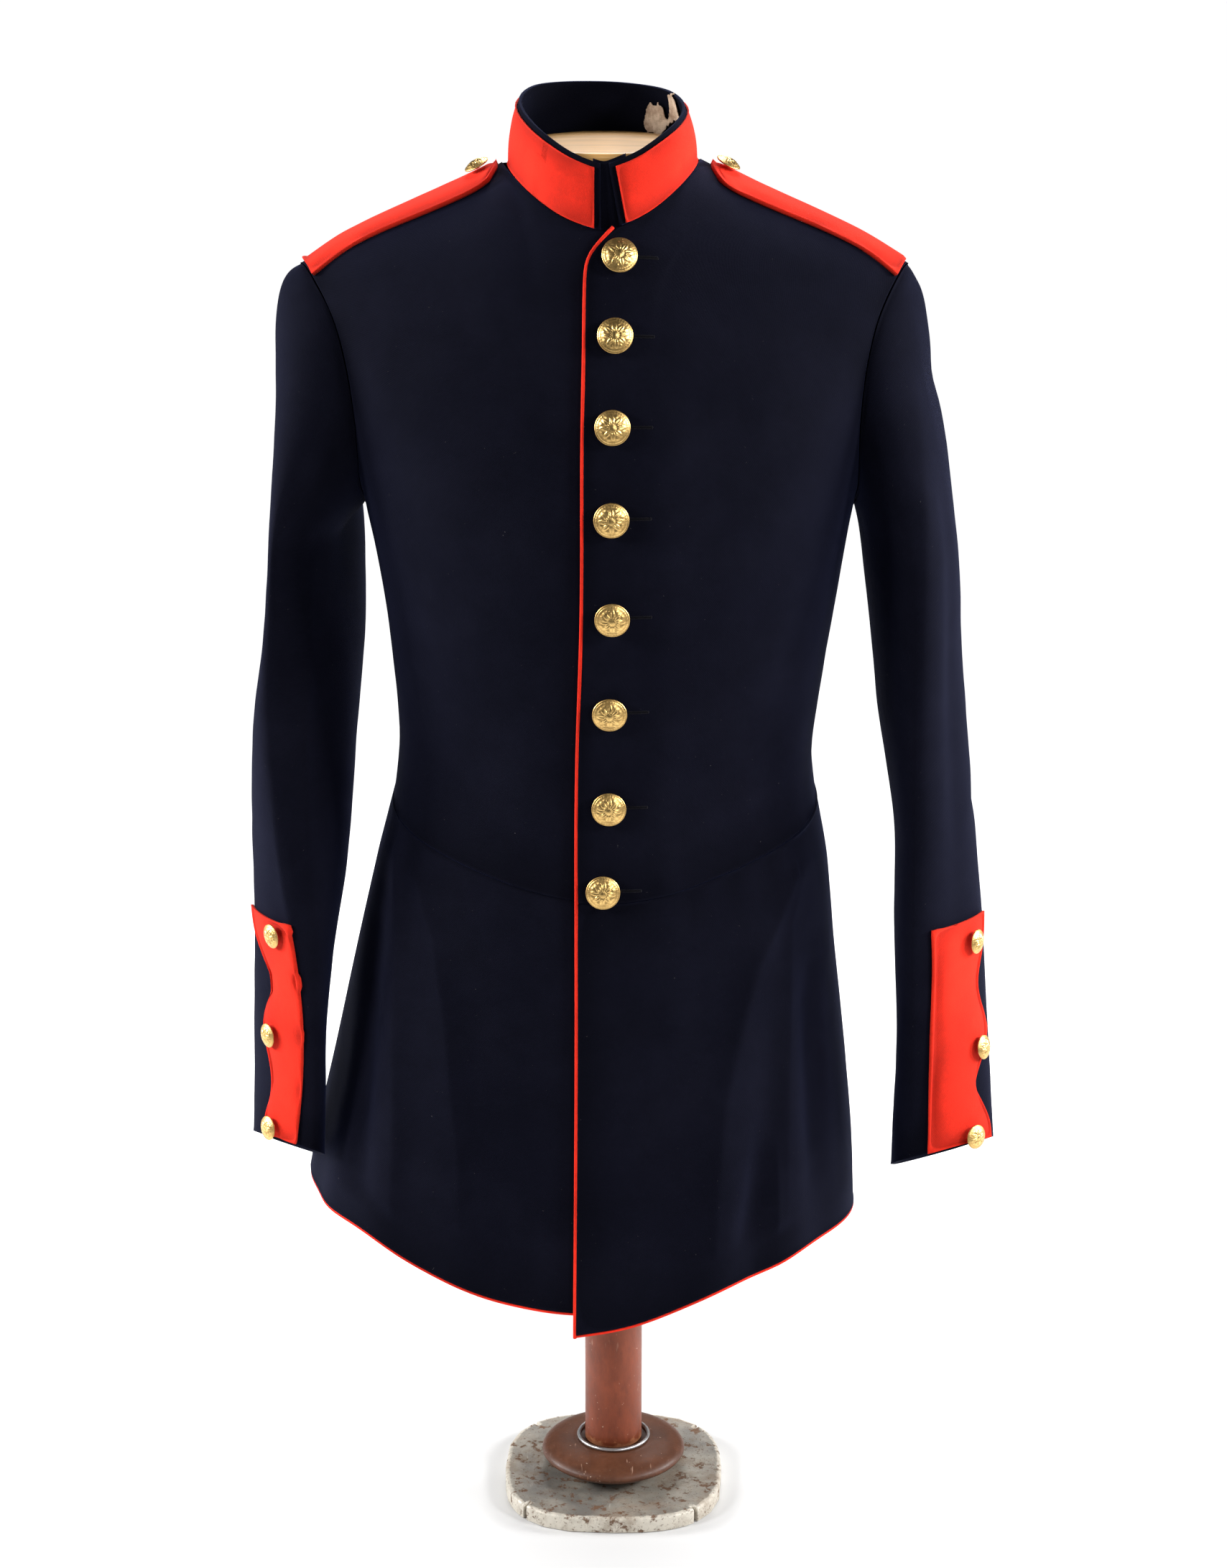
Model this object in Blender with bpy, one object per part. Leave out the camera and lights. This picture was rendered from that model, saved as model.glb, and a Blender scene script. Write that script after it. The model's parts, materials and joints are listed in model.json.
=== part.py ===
"""Military dress tunic standing on a limbless dress form.

The tunic is cut cloth: two fronts, two backs, four skirt panels and two-part sleeves, each a
closed wall of cloth with its largest folds. The form, its pole, flange and base plate stand
below it. World frame: +X is the wearer's left, -Y the front, +Z up, and the origin is the
centre of the base plate's underside, on the pole's axis.
"""

import math

import bmesh
import bpy
from mathutils import Vector
from mathutils.bvhtree import BVHTree

MM = 0.001

# Sizes in millimetres and angles in degrees.
MIDDLE = -6.0            # the tunic hangs this far to the wearer's right of the pole's axis
WALL = 2.0               # thickness of the tunic cloth
SEAM = 0.35              # space left between two pieces that are sewn together
WAIST_SEAM = 1.0         # and where the skirt is sewn to the body
ARMHOLE_SEAM = 1.0       # and where the sleeves are set in
SLEEVE_SEAM = 0.9        # and between the two parts of a sleeve
RIDGE_DEPTH = 5.0        # depth of the shoulder line behind the pole's axis
ARMPIT = 742.0           # height of the lowest point of the armholes
TOP_WIDTH = 212.0        # half width that the chest section grows to at the shoulders
SIDE_TURN = 96.0         # place of the side seams, as a turn from the front centre
LAP = 3.4                # how far the over-front lies above the under-front
LAP_FULL = 36.0          # the lap keeps its full height up to here from the front centre
LAP_NONE = 66.0          # and dies out here
UNDER_EDGE = 24.0        # how far the under-front reaches past the front centre

FRONT_CORNER = 2.2       # superellipse exponents of the body's front and back sections
BACK_CORNER = 2.3

# Sections of the body and skirt: height, half width on the wearer's right and left, depth
# of the front and of the back.
BODY = (
    (190, 221.0, 180.5, 151.0, 141.0),
    (230, 219.5, 180.0, 148.5, 139.0),
    (260, 214.5, 178.6, 145.5, 136.5),
    (301, 206.5, 176.0, 141.0, 132.0),
    (341, 196.0, 172.0, 136.0, 127.0),
    (394, 184.0, 166.0, 128.5, 120.0),
    (446, 171.0, 160.5, 122.0, 112.0),
    (498, 159.0, 156.5, 115.5, 105.0),
    (523, 153.0, 153.0, 113.5, 102.0),
    (549, 145.6, 145.6, 112.2, 100.0),
    (574, 143.0, 143.0, 112.0, 99.0),
    (599, 143.0, 147.0, 113.5, 100.0),
    (649, 147.0, 154.0, 119.0, 104.0),
    (700, 153.5, 162.0, 125.5, 109.0),
    (ARMPIT, 161.0, 168.5, 129.0, 112.0),
)

# Height of the shoulder line by distance from the middle, for the front and the back. Inside
# the neckline the two differ, because the neck leans forward.
SHOULDER_LINE = (
    (-12, 1001.0, 1022.0), (0, 1002.0, 1024.0), (12, 1001.0, 1022.0), (34, 991.5, 1006.0),
    (62, 979.4, 979.4), (90, 965.0, 965.0), (111, 955.0, 955.0), (135, 945.0, 945.0),
    (162, 932.5, 932.5), (180, 923.0, 923.0), (200, 911.0, 911.0), (215, 901.0, 901.0),
)

# Armholes: rise angle of the body surface, turn on the front and turn on the back.
ARMHOLE = (
    (0, 71.2, 108.8),
    (20, 66.6, 114.0),
    (43, 61.0, 118.5),
    (58, 61.5, 117.0),
    (70, 65.5, 112.0),
    (78, 71.5, 106.0),
    (84, 79.5, 101.0),
    (88, 88.0, 98.0),
    (90, 95.6, 96.4),
)

# Height of the waist seam by turn from the front centre.
WAIST = (
    (-12, 501.0), (0, 499.0), (12, 503.0), (27, 512.5), (41, 521.0),
    (55, 527.5), (96, 542.0), (180, 554.0),
)

# Height of the hem by turn, on the wearer's right and left.
HEM = (
    (-12, 212.0, 191.5), (0, 211.5, 199.0), (8, 210.5, 206.5), (14, 214.0, 213.0),
    (20, 221.0, 222.0), (25, 227.0, 227.0), (31, 232.5, 227.2), (37, 239.0, 232.0),
    (45, 251.2, 239.3), (55, 254.0, 238.5), (72, 252.0, 238.2), (96, 247.0, 231.0),
    (135, 238.0, 230.0), (180, 232.0, 232.0),
)

# Front edge of the over-front by height: distance from the middle.
OVER_EDGE = (
    (195, -19.5), (377, -18.0), (552, -17.8), (612, -16.8), (700, -13.7), (816, -13.0),
    (880, -11.8), (912, -11.4), (930, -10.2), (939, -6.5), (943, -1.0), (945, 6.0),
)

# Folds of the skirt. Each is a ridge, or a trough where its height is negative: side, turn
# at heights 520, 440 and 220, half width in degrees, height, and where it starts and is full.
FOLDS = (
    (-1, 66.0, 56.0, 42.0, 7.0, 6.0, 500, 330),
    (-1, 63.0, 41.0, 26.0, 8.0, 4.0, 520, 400),
    (-1, 52.0, 49.0, 34.0, 7.0, -3.0, 480, 330),
    (-1, 15.0, 13.5, 11.0, 5.0, -5.0, 470, 330),
    (-1, 79.0, 79.0, 79.0, 13.0, -8.0, 440, 340),
    (-1, 112.0, 118.0, 120.0, 9.0, 6.0, 520, 330),
    (-1, 150.0, 152.0, 152.0, 9.0, 7.0, 520, 330),
    (1, 66.0, 39.0, 23.0, 5.5, 6.0, 525, 400),
    (1, 60.0, 45.0, 32.0, 6.0, -4.5, 470, 300),
    (1, 56.0, 50.0, 42.0, 6.0, 5.0, 470, 290),
    (1, 66.0, 62.0, 58.0, 8.0, -3.0, 440, 290),
    (1, 14.0, 13.0, 11.0, 6.0, -2.0, 470, 330),
    (1, 112.0, 118.0, 120.0, 9.0, 6.0, 520, 330),
    (1, 150.0, 152.0, 152.0, 9.0, 7.0, 520, 330),
)

# Neckline and collar, measured from the shoulder line's depth.
NECK_WIDTH = {-1: 67.0, 1: 63.5}
NECK_FRONT = 84.0
NECK_BACK = 55.0
COLLAR_TOP_WIDTH = {-1: 60.0, 1: 56.0}
COLLAR_TOP_FRONT = 73.0
COLLAR_TOP_BACK = 57.0
COLLAR_FRONT_CORNER = 1.8
COLLAR_BACK_CORNER = 2.2
COLLAR_WALL = 2.2
# Height of the collar's top edge by angle from the front, on the wearer's right and left.
COLLAR_TOP = (
    (0, 986.0, 986.0), (22, 992.5, 992.5), (45, 1004.0, 1002.5), (68, 1012.5, 1009.5),
    (90, 1017.5, 1013.5), (115, 1021.0, 1016.5), (140, 1022.5, 1019.5), (180, 1022.0, 1022.0),
)

COLLAR_START = {-1: (2.5, 2.5), 1: (10.0, 3.0)}     # front ends at the base and at the top
COLLAR_SEAM = 1.0        # space between the collar and the neckline
COLLAR_BORDER = 4.0      # cloth left bare round the red facing
FACING_WALL = 1.2
FACING_GAP = 0.35
# Rows of each collar piece, as shares of the way from the collar's base to its top edge.
STAND_ROWS = (0, 0.33, 0.67, 1)
FACING_ROWS = (0, 0.32, 0.62, 0.91)
TAB_ROWS = (0.06, 0.35, 0.65, 0.94)
REMNANT_ROWS = (0.12, 0.4, 0.75)
TAB_DEPTH = 2.2          # how far the tab behind the opening lies inside the collar
TAB_SHARE = 0.25         # place of its two middle columns across the opening
TAB_WALL = 1.4
REMNANT_COLUMNS = slice(-9, -6)     # columns of the collar where the torn lining is left
REMNANT_DEPTH = 1.2
REMNANT_WALL = 0.8
COLLAR_BOW = 1.5         # how far the collar bows out halfway up

# Sleeves: height, outer and inner reach from the pole's axis, depth of the centre, half
# length of the section front to back, twist that turns its front edge inward, and how steeply
# the section rises towards its front and its outside, because the forearm hangs forward.
SLEEVES = {
    -1: (
        (288, 260.0, 201.0, -34.0, 52.0, 25.0, 0.50, 0.38),
        (335, 258.2, 199.5, -30.0, 54.0, 25.0, 0.42, 0.32),
        (385, 258.0, 198.0, -25.0, 57.0, 23.0, 0.32, 0.24),
        (430, 255.0, 194.0, -20.0, 60.0, 17.0, 0.22, 0.16),
        (470, 251.8, 188.0, -16.0, 62.0, 9.0, 0.14, 0.10),
        (518, 251.4, 181.5, -12.0, 64.0, -2.0, 0.06, 0.04),
        (560, 251.2, 178.5, -8.0, 65.0, -13.0, 0.02, 0.0),
        (605, 248.0, 174.0, -5.0, 67.0, -21.0, 0.0, 0.0),
        (655, 238.4, 170.0, -3.0, 69.0, -24.0, 0.0, 0.0),
        (690, 233.2, 170.6, -2.4, 69.6, -23.6, 0.0, 0.0),
        (724, 233.0, 171.5, -2.0, 70.0, -23.0, 0.0, 0.0),
    ),
    1: (
        (282, 273.0, 194.0, -34.0, 51.0, 28.0, 0.50, 0.30),
        (335, 269.8, 195.0, -30.0, 53.0, 28.0, 0.42, 0.25),
        (376, 266.8, 196.5, -26.0, 55.0, 27.0, 0.32, 0.20),
        (440, 263.0, 193.5, -19.0, 58.0, 22.0, 0.20, 0.13),
        (478, 258.7, 193.0, -16.0, 60.0, 18.5, 0.12, 0.08),
        (518, 254.8, 193.5, -12.0, 62.0, 15.5, 0.06, 0.03),
        (556, 249.3, 189.0, -9.0, 64.0, 11.0, 0.02, 0.0),
        (605, 243.7, 180.5, -6.0, 66.0, 5.4, 0.0, 0.0),
        (655, 237.6, 176.0, -4.0, 68.0, 1.3, 0.0, 0.0),
        (700, 237.0, 170.0, -2.7, 69.5, -1.7, 0.0, 0.0),
        (724, 234.2, 167.0, -2.0, 70.0, -3.4, 0.0, 0.0),
    ),
}
SLEEVE_CORNER = 1.75     # below 2 the section is a lens with pressed edges
THINNEST = 10.0          # and its half thickness is never less than this
SLEEVE_TOP = 724.0       # where the sleeve head ends and the tube begins
ROUND_SLEEVE = (0, 8, 17, 34, 50, 66, 89, 112, 129, 146, 163, 180)     # columns of half a sleeve
HIND_SEAM = 5            # the sleeve seams lie on these columns, behind and in front
FRONT_SEAM = 7
TUBE_ROWS = 11
HEAD_ROWS = (0.3, 0.55, 0.76, 0.9, 1)     # rows of the sleeve head, as shares of its way up
ARMHOLE_POWER = 0.75     # how the sleeve's columns spread along the armhole

# How each sleeve head leaves the top of the shoulder: outward, downward and how strongly, and
# how strongly it runs into the tube outside. At the armpit it leaves downward instead, and in
# front and behind it also leaves forward or back.
SLEEVE_HEADS = {-1: (0.8, 0.15, 140.0, 210.0), 1: (0.8, 0.4, 60.0, 60.0)}
ARMPIT_OUTWARD = 0.2
ARMPIT_STRENGTH = 18.0
HEAD_FORWARD = 0.4
HEAD_POWER = 0.6         # how fast the armpit's way of leaving takes over below the shoulder
INNER_ARRIVAL = 22.0     # how strongly the head runs into the tube inside
TUBE_STEP = 5.0          # length of tube that gives the direction it arrives in

# Scalloped red panel of the cuffs: height, and where round the section its straight edge and
# its scalloped edge lie there. The scallops' three points are at the buttons.
CUFF_PANELS = {
    -1: (
        (289.0, 61.0, 19.0), (301.0, 62.0, 15.0), (332.0, 65.0, 26.0), (378.0, 69.0, 12.0),
        (409.0, 69.0, 34.0), (444.0, 67.0, 5.0), (458.0, 66.0, -10.0),
    ),
    1: (
        (282.5, 72.0, 3.0), (289.0, 71.0, -2.0), (330.0, 68.0, 22.0), (366.0, 65.0, -12.0),
        (404.0, 64.0, 13.0), (435.0, 65.0, -2.0), (455.0, 67.0, -9.0),
    ),
}
PANEL_GAP = 1.3
PANEL_WALL = 1.4

STRAP_WIDTHS = (-31, -20, -10, 0, 8, 16, 24)     # across the strap, from the shoulder line
STRAP_TAPER = 0.72       # share of the front half's width that is left at the square end
STRAP_ROUND = 18.0       # length of the strap's rounded end
STRAP_BLUNT = 0.4        # share of the width that the rounded end starts with
STRAP_INNER = 70.0       # where that end lies, at the collar
STRAP_OUTER = 200.0      # and the square end, which follows the armhole
STRAP_MARGIN = 1.0       # the square end keeps this far from the armhole
STRAP_BEND = 104.0       # the rows start to follow the armhole here
STRAP_ROWS = (STRAP_INNER, 75, 81, 90, STRAP_BEND, 124, 144, 164, 180, STRAP_OUTER)
STRAP_WALL = 2.2
STRAP_GAP = 1.7

# Front buttons: distance of the centre from the pole's axis, and height.
FRONT_BUTTONS = (
    (3.4, 929.6), (0.9, 882.5), (-0.7, 826.7), (-1.4, 768.3),
    (-0.9, 702.2), (-2.6, 635.3), (-3.1, 567.0), (-7.0, 508.5),
)
BIG_BUTTON = 23.0
SMALL_BUTTON = 17.0
BUTTON_GAP = 0.8
CUFF_BUTTONS = {
    -1: ((448.0, 46.0), (368.0, 27.0), (296.0, 29.0)),
    1: ((438.0, 20.0), (355.0, 11.0), (287.0, 29.0)),
}
STRAP_BUTTON = {-1: 81.0, 1: 78.5}     # distance of the strap's button from the middle

PIPING_FRONT = 1.3       # radii of the piping cords
PIPING_HEM = 1.0
PIPING_GAP = 0.45        # space between the front piping and the cloth's edge

# Dress form: height, half width, depth of the front and of the back.
FORM = (
    (400, 150.0, 108.0, 98.0),
    (440, 148.0, 108.0, 99.0),
    (500, 142.0, 103.0, 95.0),
    (560, 134.0, 100.0, 90.0),
    (600, 134.0, 101.0, 90.0),
    (650, 139.0, 106.0, 94.0),
    (700, 146.0, 111.0, 99.0),
    (750, 155.0, 114.0, 101.0),
    (800, 163.0, 110.0, 98.0),
    (850, 168.0, 97.0, 89.0),
    (885, 165.0, 82.0, 78.0),
    (910, 150.0, 71.0, 69.0),
    (930, 124.0, 65.0, 63.0),
    (946, 94.0, 60.0, 58.0),
    (956, 70.0, 56.0, 54.0),
    (972, 55.0, 52.0, 50.0),
)
# Heights of the form's rings, closest together at the shoulders.
FORM_ROWS = (400, 440, 500, 560, 610, 660, 710, 755, 800, 845, 880, 908, 930, 946, 958, 972)
FORM_BOTTOM, FORM_MIDDLE = 400.0, 690.0
FORM_CORNER = 2.15       # superellipse exponent of its sections
CAP_WIDTH = 55.0
CAP_DEPTH = 52.0
CAP_CENTRE_DEPTH = 1.0
CAP_FLOOR = 972.4
CAP_TOP = 990.0
CAP_BEVEL = 1.8

PLATE_HALF = 80.0
PLATE_CORNER = 2.8
PLATE_THICK = 12.0
PLATE_BEVEL = 1.5
NOTCH_AT = 60.0          # the plate's four notches: distance to each side of the axis
NOTCH_HALF = 2.0
NOTCH_DEPTH = 5.0
FLANGE_RADIUS = 53.0
FLANGE_TOP = 36.0
FLANGE_BEVEL = 1.0
FLANGE_LIP = 3.0         # height of its straight rim, and width of the flat round the ring
POLE_RADIUS = 20.8
RING_RADIUS = 25.4
RING_WIRE = 1.5
TOUCH = 0.3              # space between two rigid pieces that touch

COLOURS = {
    "navy_wool": (0.010, 0.012, 0.022, 0.92, 0.0),
    "red_wool": (0.62, 0.035, 0.022, 0.88, 0.0),
    "gilt_brass": (0.78, 0.50, 0.17, 0.30, 1.0),
    "cream_cotton": (0.70, 0.62, 0.48, 0.90, 0.0),
    "form_linen": (0.55, 0.49, 0.38, 0.90, 0.0),
    "pale_wood": (0.76, 0.62, 0.38, 0.55, 0.0),
    "red_wood": (0.26, 0.060, 0.022, 0.35, 0.0),
    "steel": (0.45, 0.45, 0.47, 0.35, 1.0),
    "worn_paint": (0.33, 0.34, 0.34, 0.60, 0.2),
}


# ------------------------------------------------------------------------------- helpers

def hermite(start, start_slope, end, end_slope, share):
    """A smooth curve from start to end, for numbers or vectors."""
    square, cube = share * share, share ** 3
    return (start * (2 * cube - 3 * square + 1) + start_slope * (cube - 2 * square + share)
            + end * (3 * square - 2 * cube) + end_slope * (cube - square))


def read_table(rows, at):
    """The values beside one reading of a table's first column, on a smooth curve."""
    last = len(rows) - 1
    at = min(max(at, rows[0][0]), rows[last][0])
    low = max(i for i in range(last) if rows[i][0] <= at)
    span = rows[low + 1][0] - rows[low][0]
    share = (at - rows[low][0]) / span

    def slope(i, column):
        before, after = rows[max(i - 1, 0)], rows[min(i + 1, last)]
        return (after[column] - before[column]) / (after[0] - before[0]) * span

    return [hermite(rows[low][c], slope(low, c), rows[low + 1][c], slope(low + 1, c), share)
            for c in range(1, len(rows[0]))]


def ease(value, start, end):
    """0 at start, 1 at end, smooth between; start may be above end."""
    share = min(max((value - start) / (end - start), 0.0), 1.0)
    return share * share * (3 - 2 * share)


def across(turn, corner):
    return abs(math.sin(math.radians(turn))) ** (2 / corner)


def along(turn, corner):
    return abs(math.cos(math.radians(turn))) ** (2 / corner)


def mix(start, end, share):
    return start + (end - start) * share


def spread(start, end, count):
    """count even steps from start to end, both included."""
    return [mix(start, end, i / count) for i in range(count + 1)]


def bisect(is_low, low, high):
    """The place between low and high where is_low turns false."""
    for _ in range(40):
        middle = (low + high) / 2
        if is_low(middle):
            low = middle
        else:
            high = middle
    return (low + high) / 2


# ------------------------------------------------------------------------ the body surface

def body_width(side, rise):
    """Half width of the chest section; rise is 90 at the armpit and 0 on the shoulder line."""
    low = BODY[-1][1] if side < 0 else BODY[-1][2]
    return mix(low, TOP_WIDTH, math.cos(math.radians(rise)))


def upper_point(side, turn, rise):
    """A point of the body above the armpit."""
    corner = FRONT_CORNER if turn < 90 else BACK_CORNER
    front, back = BODY[-1][3:]
    out = body_width(side, rise) * across(turn, corner)
    base = -front * along(turn, corner) if turn < 90 else back * along(turn, corner)
    depth = RIDGE_DEPTH + (base - RIDGE_DEPTH) * math.sin(math.radians(rise))
    ridge = read_table(SHOULDER_LINE, out)[0 if turn < 90 else 1]
    height = mix(ridge, ARMPIT, 1 - math.cos(math.radians(rise)))
    return Vector((MIDDLE + side * out, depth, height))


def fold_height(side, turn, height):
    """How far the skirt's folds push the cloth out at one place."""
    total = 0.0
    for fold_side, high, middle, low, width, size, start, full in FOLDS:
        if fold_side != side:
            continue
        centre = read_table(((220, low), (440, middle), (520, high)), height)[0]
        total += size * ease(height, start, full) * math.exp(-((turn - centre) / width) ** 2)
    return total


def lower_point(side, turn, height):
    """A point of the body below the armpit, or of the skirt."""
    corner = FRONT_CORNER if turn < 90 else BACK_CORNER
    right, left, front, back = read_table(BODY, height)
    width = right if side < 0 else left
    out = width * across(turn, corner)
    depth = -front * along(turn, corner) if turn < 90 else back * along(turn, corner)
    push = Vector((side * out / width ** 2, depth / front ** 2, 0)).normalized()
    return Vector((MIDDLE + side * out, depth, height)) + push * fold_height(side, turn, height)


def body_point(side, turn, level):
    """Body surface: level is a height up to the armpit, and ARMPIT + 90 - rise above it."""
    if turn < 0:
        side, turn = -side, -turn
    if turn > 180:
        side, turn = -side, 360 - turn
    if level <= ARMPIT:
        return lower_point(side, turn, level)
    return upper_point(side, turn, 90 - (level - ARMPIT))


def body_normal(side, turn, level):
    step = 0.4
    down = body_point(side, turn, level - step)
    up = body_point(side, turn, min(level + step, ARMPIT + 90))
    before = body_point(side, turn - step, level)
    after = body_point(side, turn + step, level)
    normal = (after - before).cross(up - down).normalized()
    outward = body_point(side, turn, level) - Vector((MIDDLE, RIDGE_DEPTH, min(level, ARMPIT) - 5))
    return normal if normal.dot(outward) > 0 else -normal


def edge_turn(side, out, level):
    """The turn that lies a given distance from the middle, on the other side if negative."""
    if level <= ARMPIT:
        width = read_table(BODY, level)[0 if side * out < 0 else 1]
    else:
        width = body_width(side if out >= 0 else -side, 90 - (level - ARMPIT))
    turn = math.degrees(math.asin((abs(out) / width) ** (FRONT_CORNER / 2)))
    return math.copysign(turn, out)


def neck_value(side, turn, rise):
    """Above 1 outside the neckline, below 1 inside it."""
    point = upper_point(side, turn, rise)
    out, depth = abs(point.x - MIDDLE), point.y - RIDGE_DEPTH
    reach, corner = (NECK_FRONT, COLLAR_FRONT_CORNER) if depth < 0 else (NECK_BACK, COLLAR_BACK_CORNER)
    return (out / NECK_WIDTH[side]) ** corner + (abs(depth) / reach) ** corner


def neck_rise(side, turn):
    """Rise of the neckline at one turn, or 0 on the shoulder line."""
    if turn < 0:
        side, turn = -side, -turn
    if neck_value(side, turn, 0) >= 1:
        return 0.0
    return bisect(lambda rise: neck_value(side, turn, rise) < 1, 0, 90)


def neck_corner_turn(side, back):
    """The turn where the neckline meets the shoulder line."""
    corner = BACK_CORNER if back else FRONT_CORNER
    turn = math.degrees(math.asin((NECK_WIDTH[side] / TOP_WIDTH) ** (corner / 2)))
    return 180 - turn if back else turn


def lap_height(out):
    """How far the over-front lies above the body surface."""
    return LAP * ease(out, LAP_NONE, LAP_FULL)


# ------------------------------------------------------------------------------ cloth walls

def make_object(name, material, bm, centre):
    """One solid, with its origin at its own centre; bm is in millimetres."""
    for vert in bm.verts:
        vert.co = (vert.co - centre) * MM
    bmesh.ops.recalc_face_normals(bm, faces=bm.faces)
    if bm.calc_volume(signed=True) < 0:
        bmesh.ops.reverse_faces(bm, faces=bm.faces)
    mesh = bpy.data.meshes.new(name)
    bm.to_mesh(mesh)
    bm.free()
    mesh.shade_smooth()
    mesh.set_sharp_from_angle(angle=math.radians(40))
    mesh.materials.append(make_material(name, material))
    piece = bpy.data.objects.new(name, mesh)
    piece.location = centre * MM
    bpy.context.collection.objects.link(piece)
    return piece


def make_material(name, kind):
    red, green, blue, roughness, metallic = COLOURS[kind]
    material = bpy.data.materials.new(f"{name}_{kind}")
    material.use_nodes = True
    shader = material.node_tree.nodes["Principled BSDF"]
    shader.inputs["Base Color"].default_value = (red, green, blue, 1)
    shader.inputs["Roughness"].default_value = roughness
    shader.inputs["Metallic"].default_value = metallic
    return material


def grid_centre(rows):
    points = [point for row in rows for point, _ in row]
    return sum(points, Vector()) / len(points)


def pull_edges(rows, first_row=0.0, last_row=0.0, first_column=0.0, last_column=0.0):
    """Move the outer rows and columns of a grid inward, for the gaps at its seams."""
    def shift(edge, inside, distance):
        return [(point + (other - point).normalized() * distance, normal)
                for (point, normal), (other, _) in zip(edge, inside)]

    if first_row:
        rows[0] = shift(rows[0], rows[1], first_row)
    if last_row:
        rows[-1] = shift(rows[-1], rows[-2], last_row)
    for column, inside, distance in ((0, 1, first_column), (-1, -2, last_column)):
        if distance:
            edge = shift([row[column] for row in rows], [row[inside] for row in rows], distance)
            for row, moved in zip(rows, edge):
                row[column] = moved
    return rows


def cloth(name, material, rows, wall=WALL, raised=0.0):
    """A closed wall of cloth whose outer side is a grid of points with normals."""
    bm = bmesh.new()
    centre = grid_centre(rows)
    outer = [[bm.verts.new(point + normal * (raised + wall)) for point, normal in row] for row in rows]
    inner = [[bm.verts.new(point + normal * raised) for point, normal in row] for row in rows]
    height, width = len(rows) - 1, len(rows[0]) - 1
    for i in range(height):
        for j in range(width):
            bm.faces.new((outer[i][j], outer[i][j + 1], outer[i + 1][j + 1], outer[i + 1][j]))
            bm.faces.new((inner[i][j], inner[i + 1][j], inner[i + 1][j + 1], inner[i][j + 1]))
    rim = ([(0, j) for j in range(width)] + [(i, width) for i in range(height)]
           + [(height, j) for j in range(width, 0, -1)] + [(i, 0) for i in range(height, 0, -1)])
    for (i, j), (k, m) in zip(rim, rim[1:] + rim[:1]):
        bm.faces.new((outer[i][j], inner[i][j], inner[k][m], outer[k][m]))
    return make_object(name, material, bm, centre)


def tube(name, material, path, radius, sides=6):
    """A round cord along a path of points."""
    bm = bmesh.new()
    rings = []
    for i, point in enumerate(path):
        heading = (path[min(i + 1, len(path) - 1)] - path[max(i - 1, 0)]).normalized()
        reference = Vector((0, 1, 0)) if abs(heading.y) < 0.7 else Vector((0, 0, 1))
        if i:
            reference = rings[-1][1]
        first = (reference - heading * reference.dot(heading)).normalized()
        second = heading.cross(first)
        ring = [bm.verts.new(point + (first * math.cos(a) + second * math.sin(a)) * radius)
                for a in (math.tau * k / sides for k in range(sides))]
        rings.append((ring, first))
    for (ring, _), (following, _) in zip(rings, rings[1:]):
        for k in range(sides):
            m = (k + 1) % sides
            bm.faces.new((ring[k], ring[m], following[m], following[k]))
    bm.faces.new(rings[0][0])
    bm.faces.new(rings[-1][0])
    return make_object(name, material, bm, sum(path, Vector()) / len(path))


def turned(name, material, profile, centre, axis=Vector((0, 0, 1)), segments=24):
    """A solid turned round an axis; profile is (radius, height) with both ends on the axis."""
    bm = bmesh.new()
    side = axis.orthogonal().normalized()
    other = axis.cross(side)
    rings = []
    for radius, height in profile:
        if radius == 0:
            rings.append([bm.verts.new(centre + axis * height)])
            continue
        rings.append([bm.verts.new(centre + axis * height
                                   + (side * math.cos(a) + other * math.sin(a)) * radius)
                      for a in (math.tau * k / segments for k in range(segments))])
    for low, high in zip(rings, rings[1:]):
        for k in range(segments):
            m = (k + 1) % segments
            corners = [low[k % len(low)], low[m % len(low)], high[m % len(high)], high[k % len(high)]]
            bm.faces.new(list(dict.fromkeys(corners)))
    return make_object(name, material, bm, centre)


# ------------------------------------------------------------------------- fronts and backs

NECK_STEPS = 6
SHOULDER_STEPS = 6
SKIRT_COLUMNS = {"over": 16, "under": 16, "back": 12}
SKIRT_MIDDLE = 400.0     # height that the search for a place on the skirt starts from
YOKE_SHARES = [1 - (around / 180) ** ARMHOLE_POWER for around in ROUND_SLEEVE[::-1]]


def over_edge(level):
    height = level if level <= ARMPIT else upper_point(1, 0, 90 - (level - ARMPIT)).z
    return read_table(OVER_EDGE, height)[0]


def first_turn(side, panel, level):
    """Turn of a panel's first column: its front edge, or the centre back."""
    if panel == "over":
        return edge_turn(side, over_edge(level), level)
    if panel == "under":
        return edge_turn(side, -UNDER_EDGE, level)
    return 180.0


def armhole_turn(panel, rise):
    front, back = read_table(ARMHOLE, rise)
    return back if panel == "back" else front


def column_shares(side, panel):
    """Places of the columns between a panel's first turn and its last."""
    top = ARMPIT + 90 - (neck_rise(side, 1.0) if panel != "back" else neck_rise(side, 179.0))
    start = first_turn(side, panel, top)
    corner = neck_corner_turn(side, panel == "back")
    end = armhole_turn(panel, 0)
    neck_share = (corner - start) / (end - start)
    return spread(0, neck_share, NECK_STEPS)[:-1] + spread(neck_share, 1, SHOULDER_STEPS)


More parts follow.
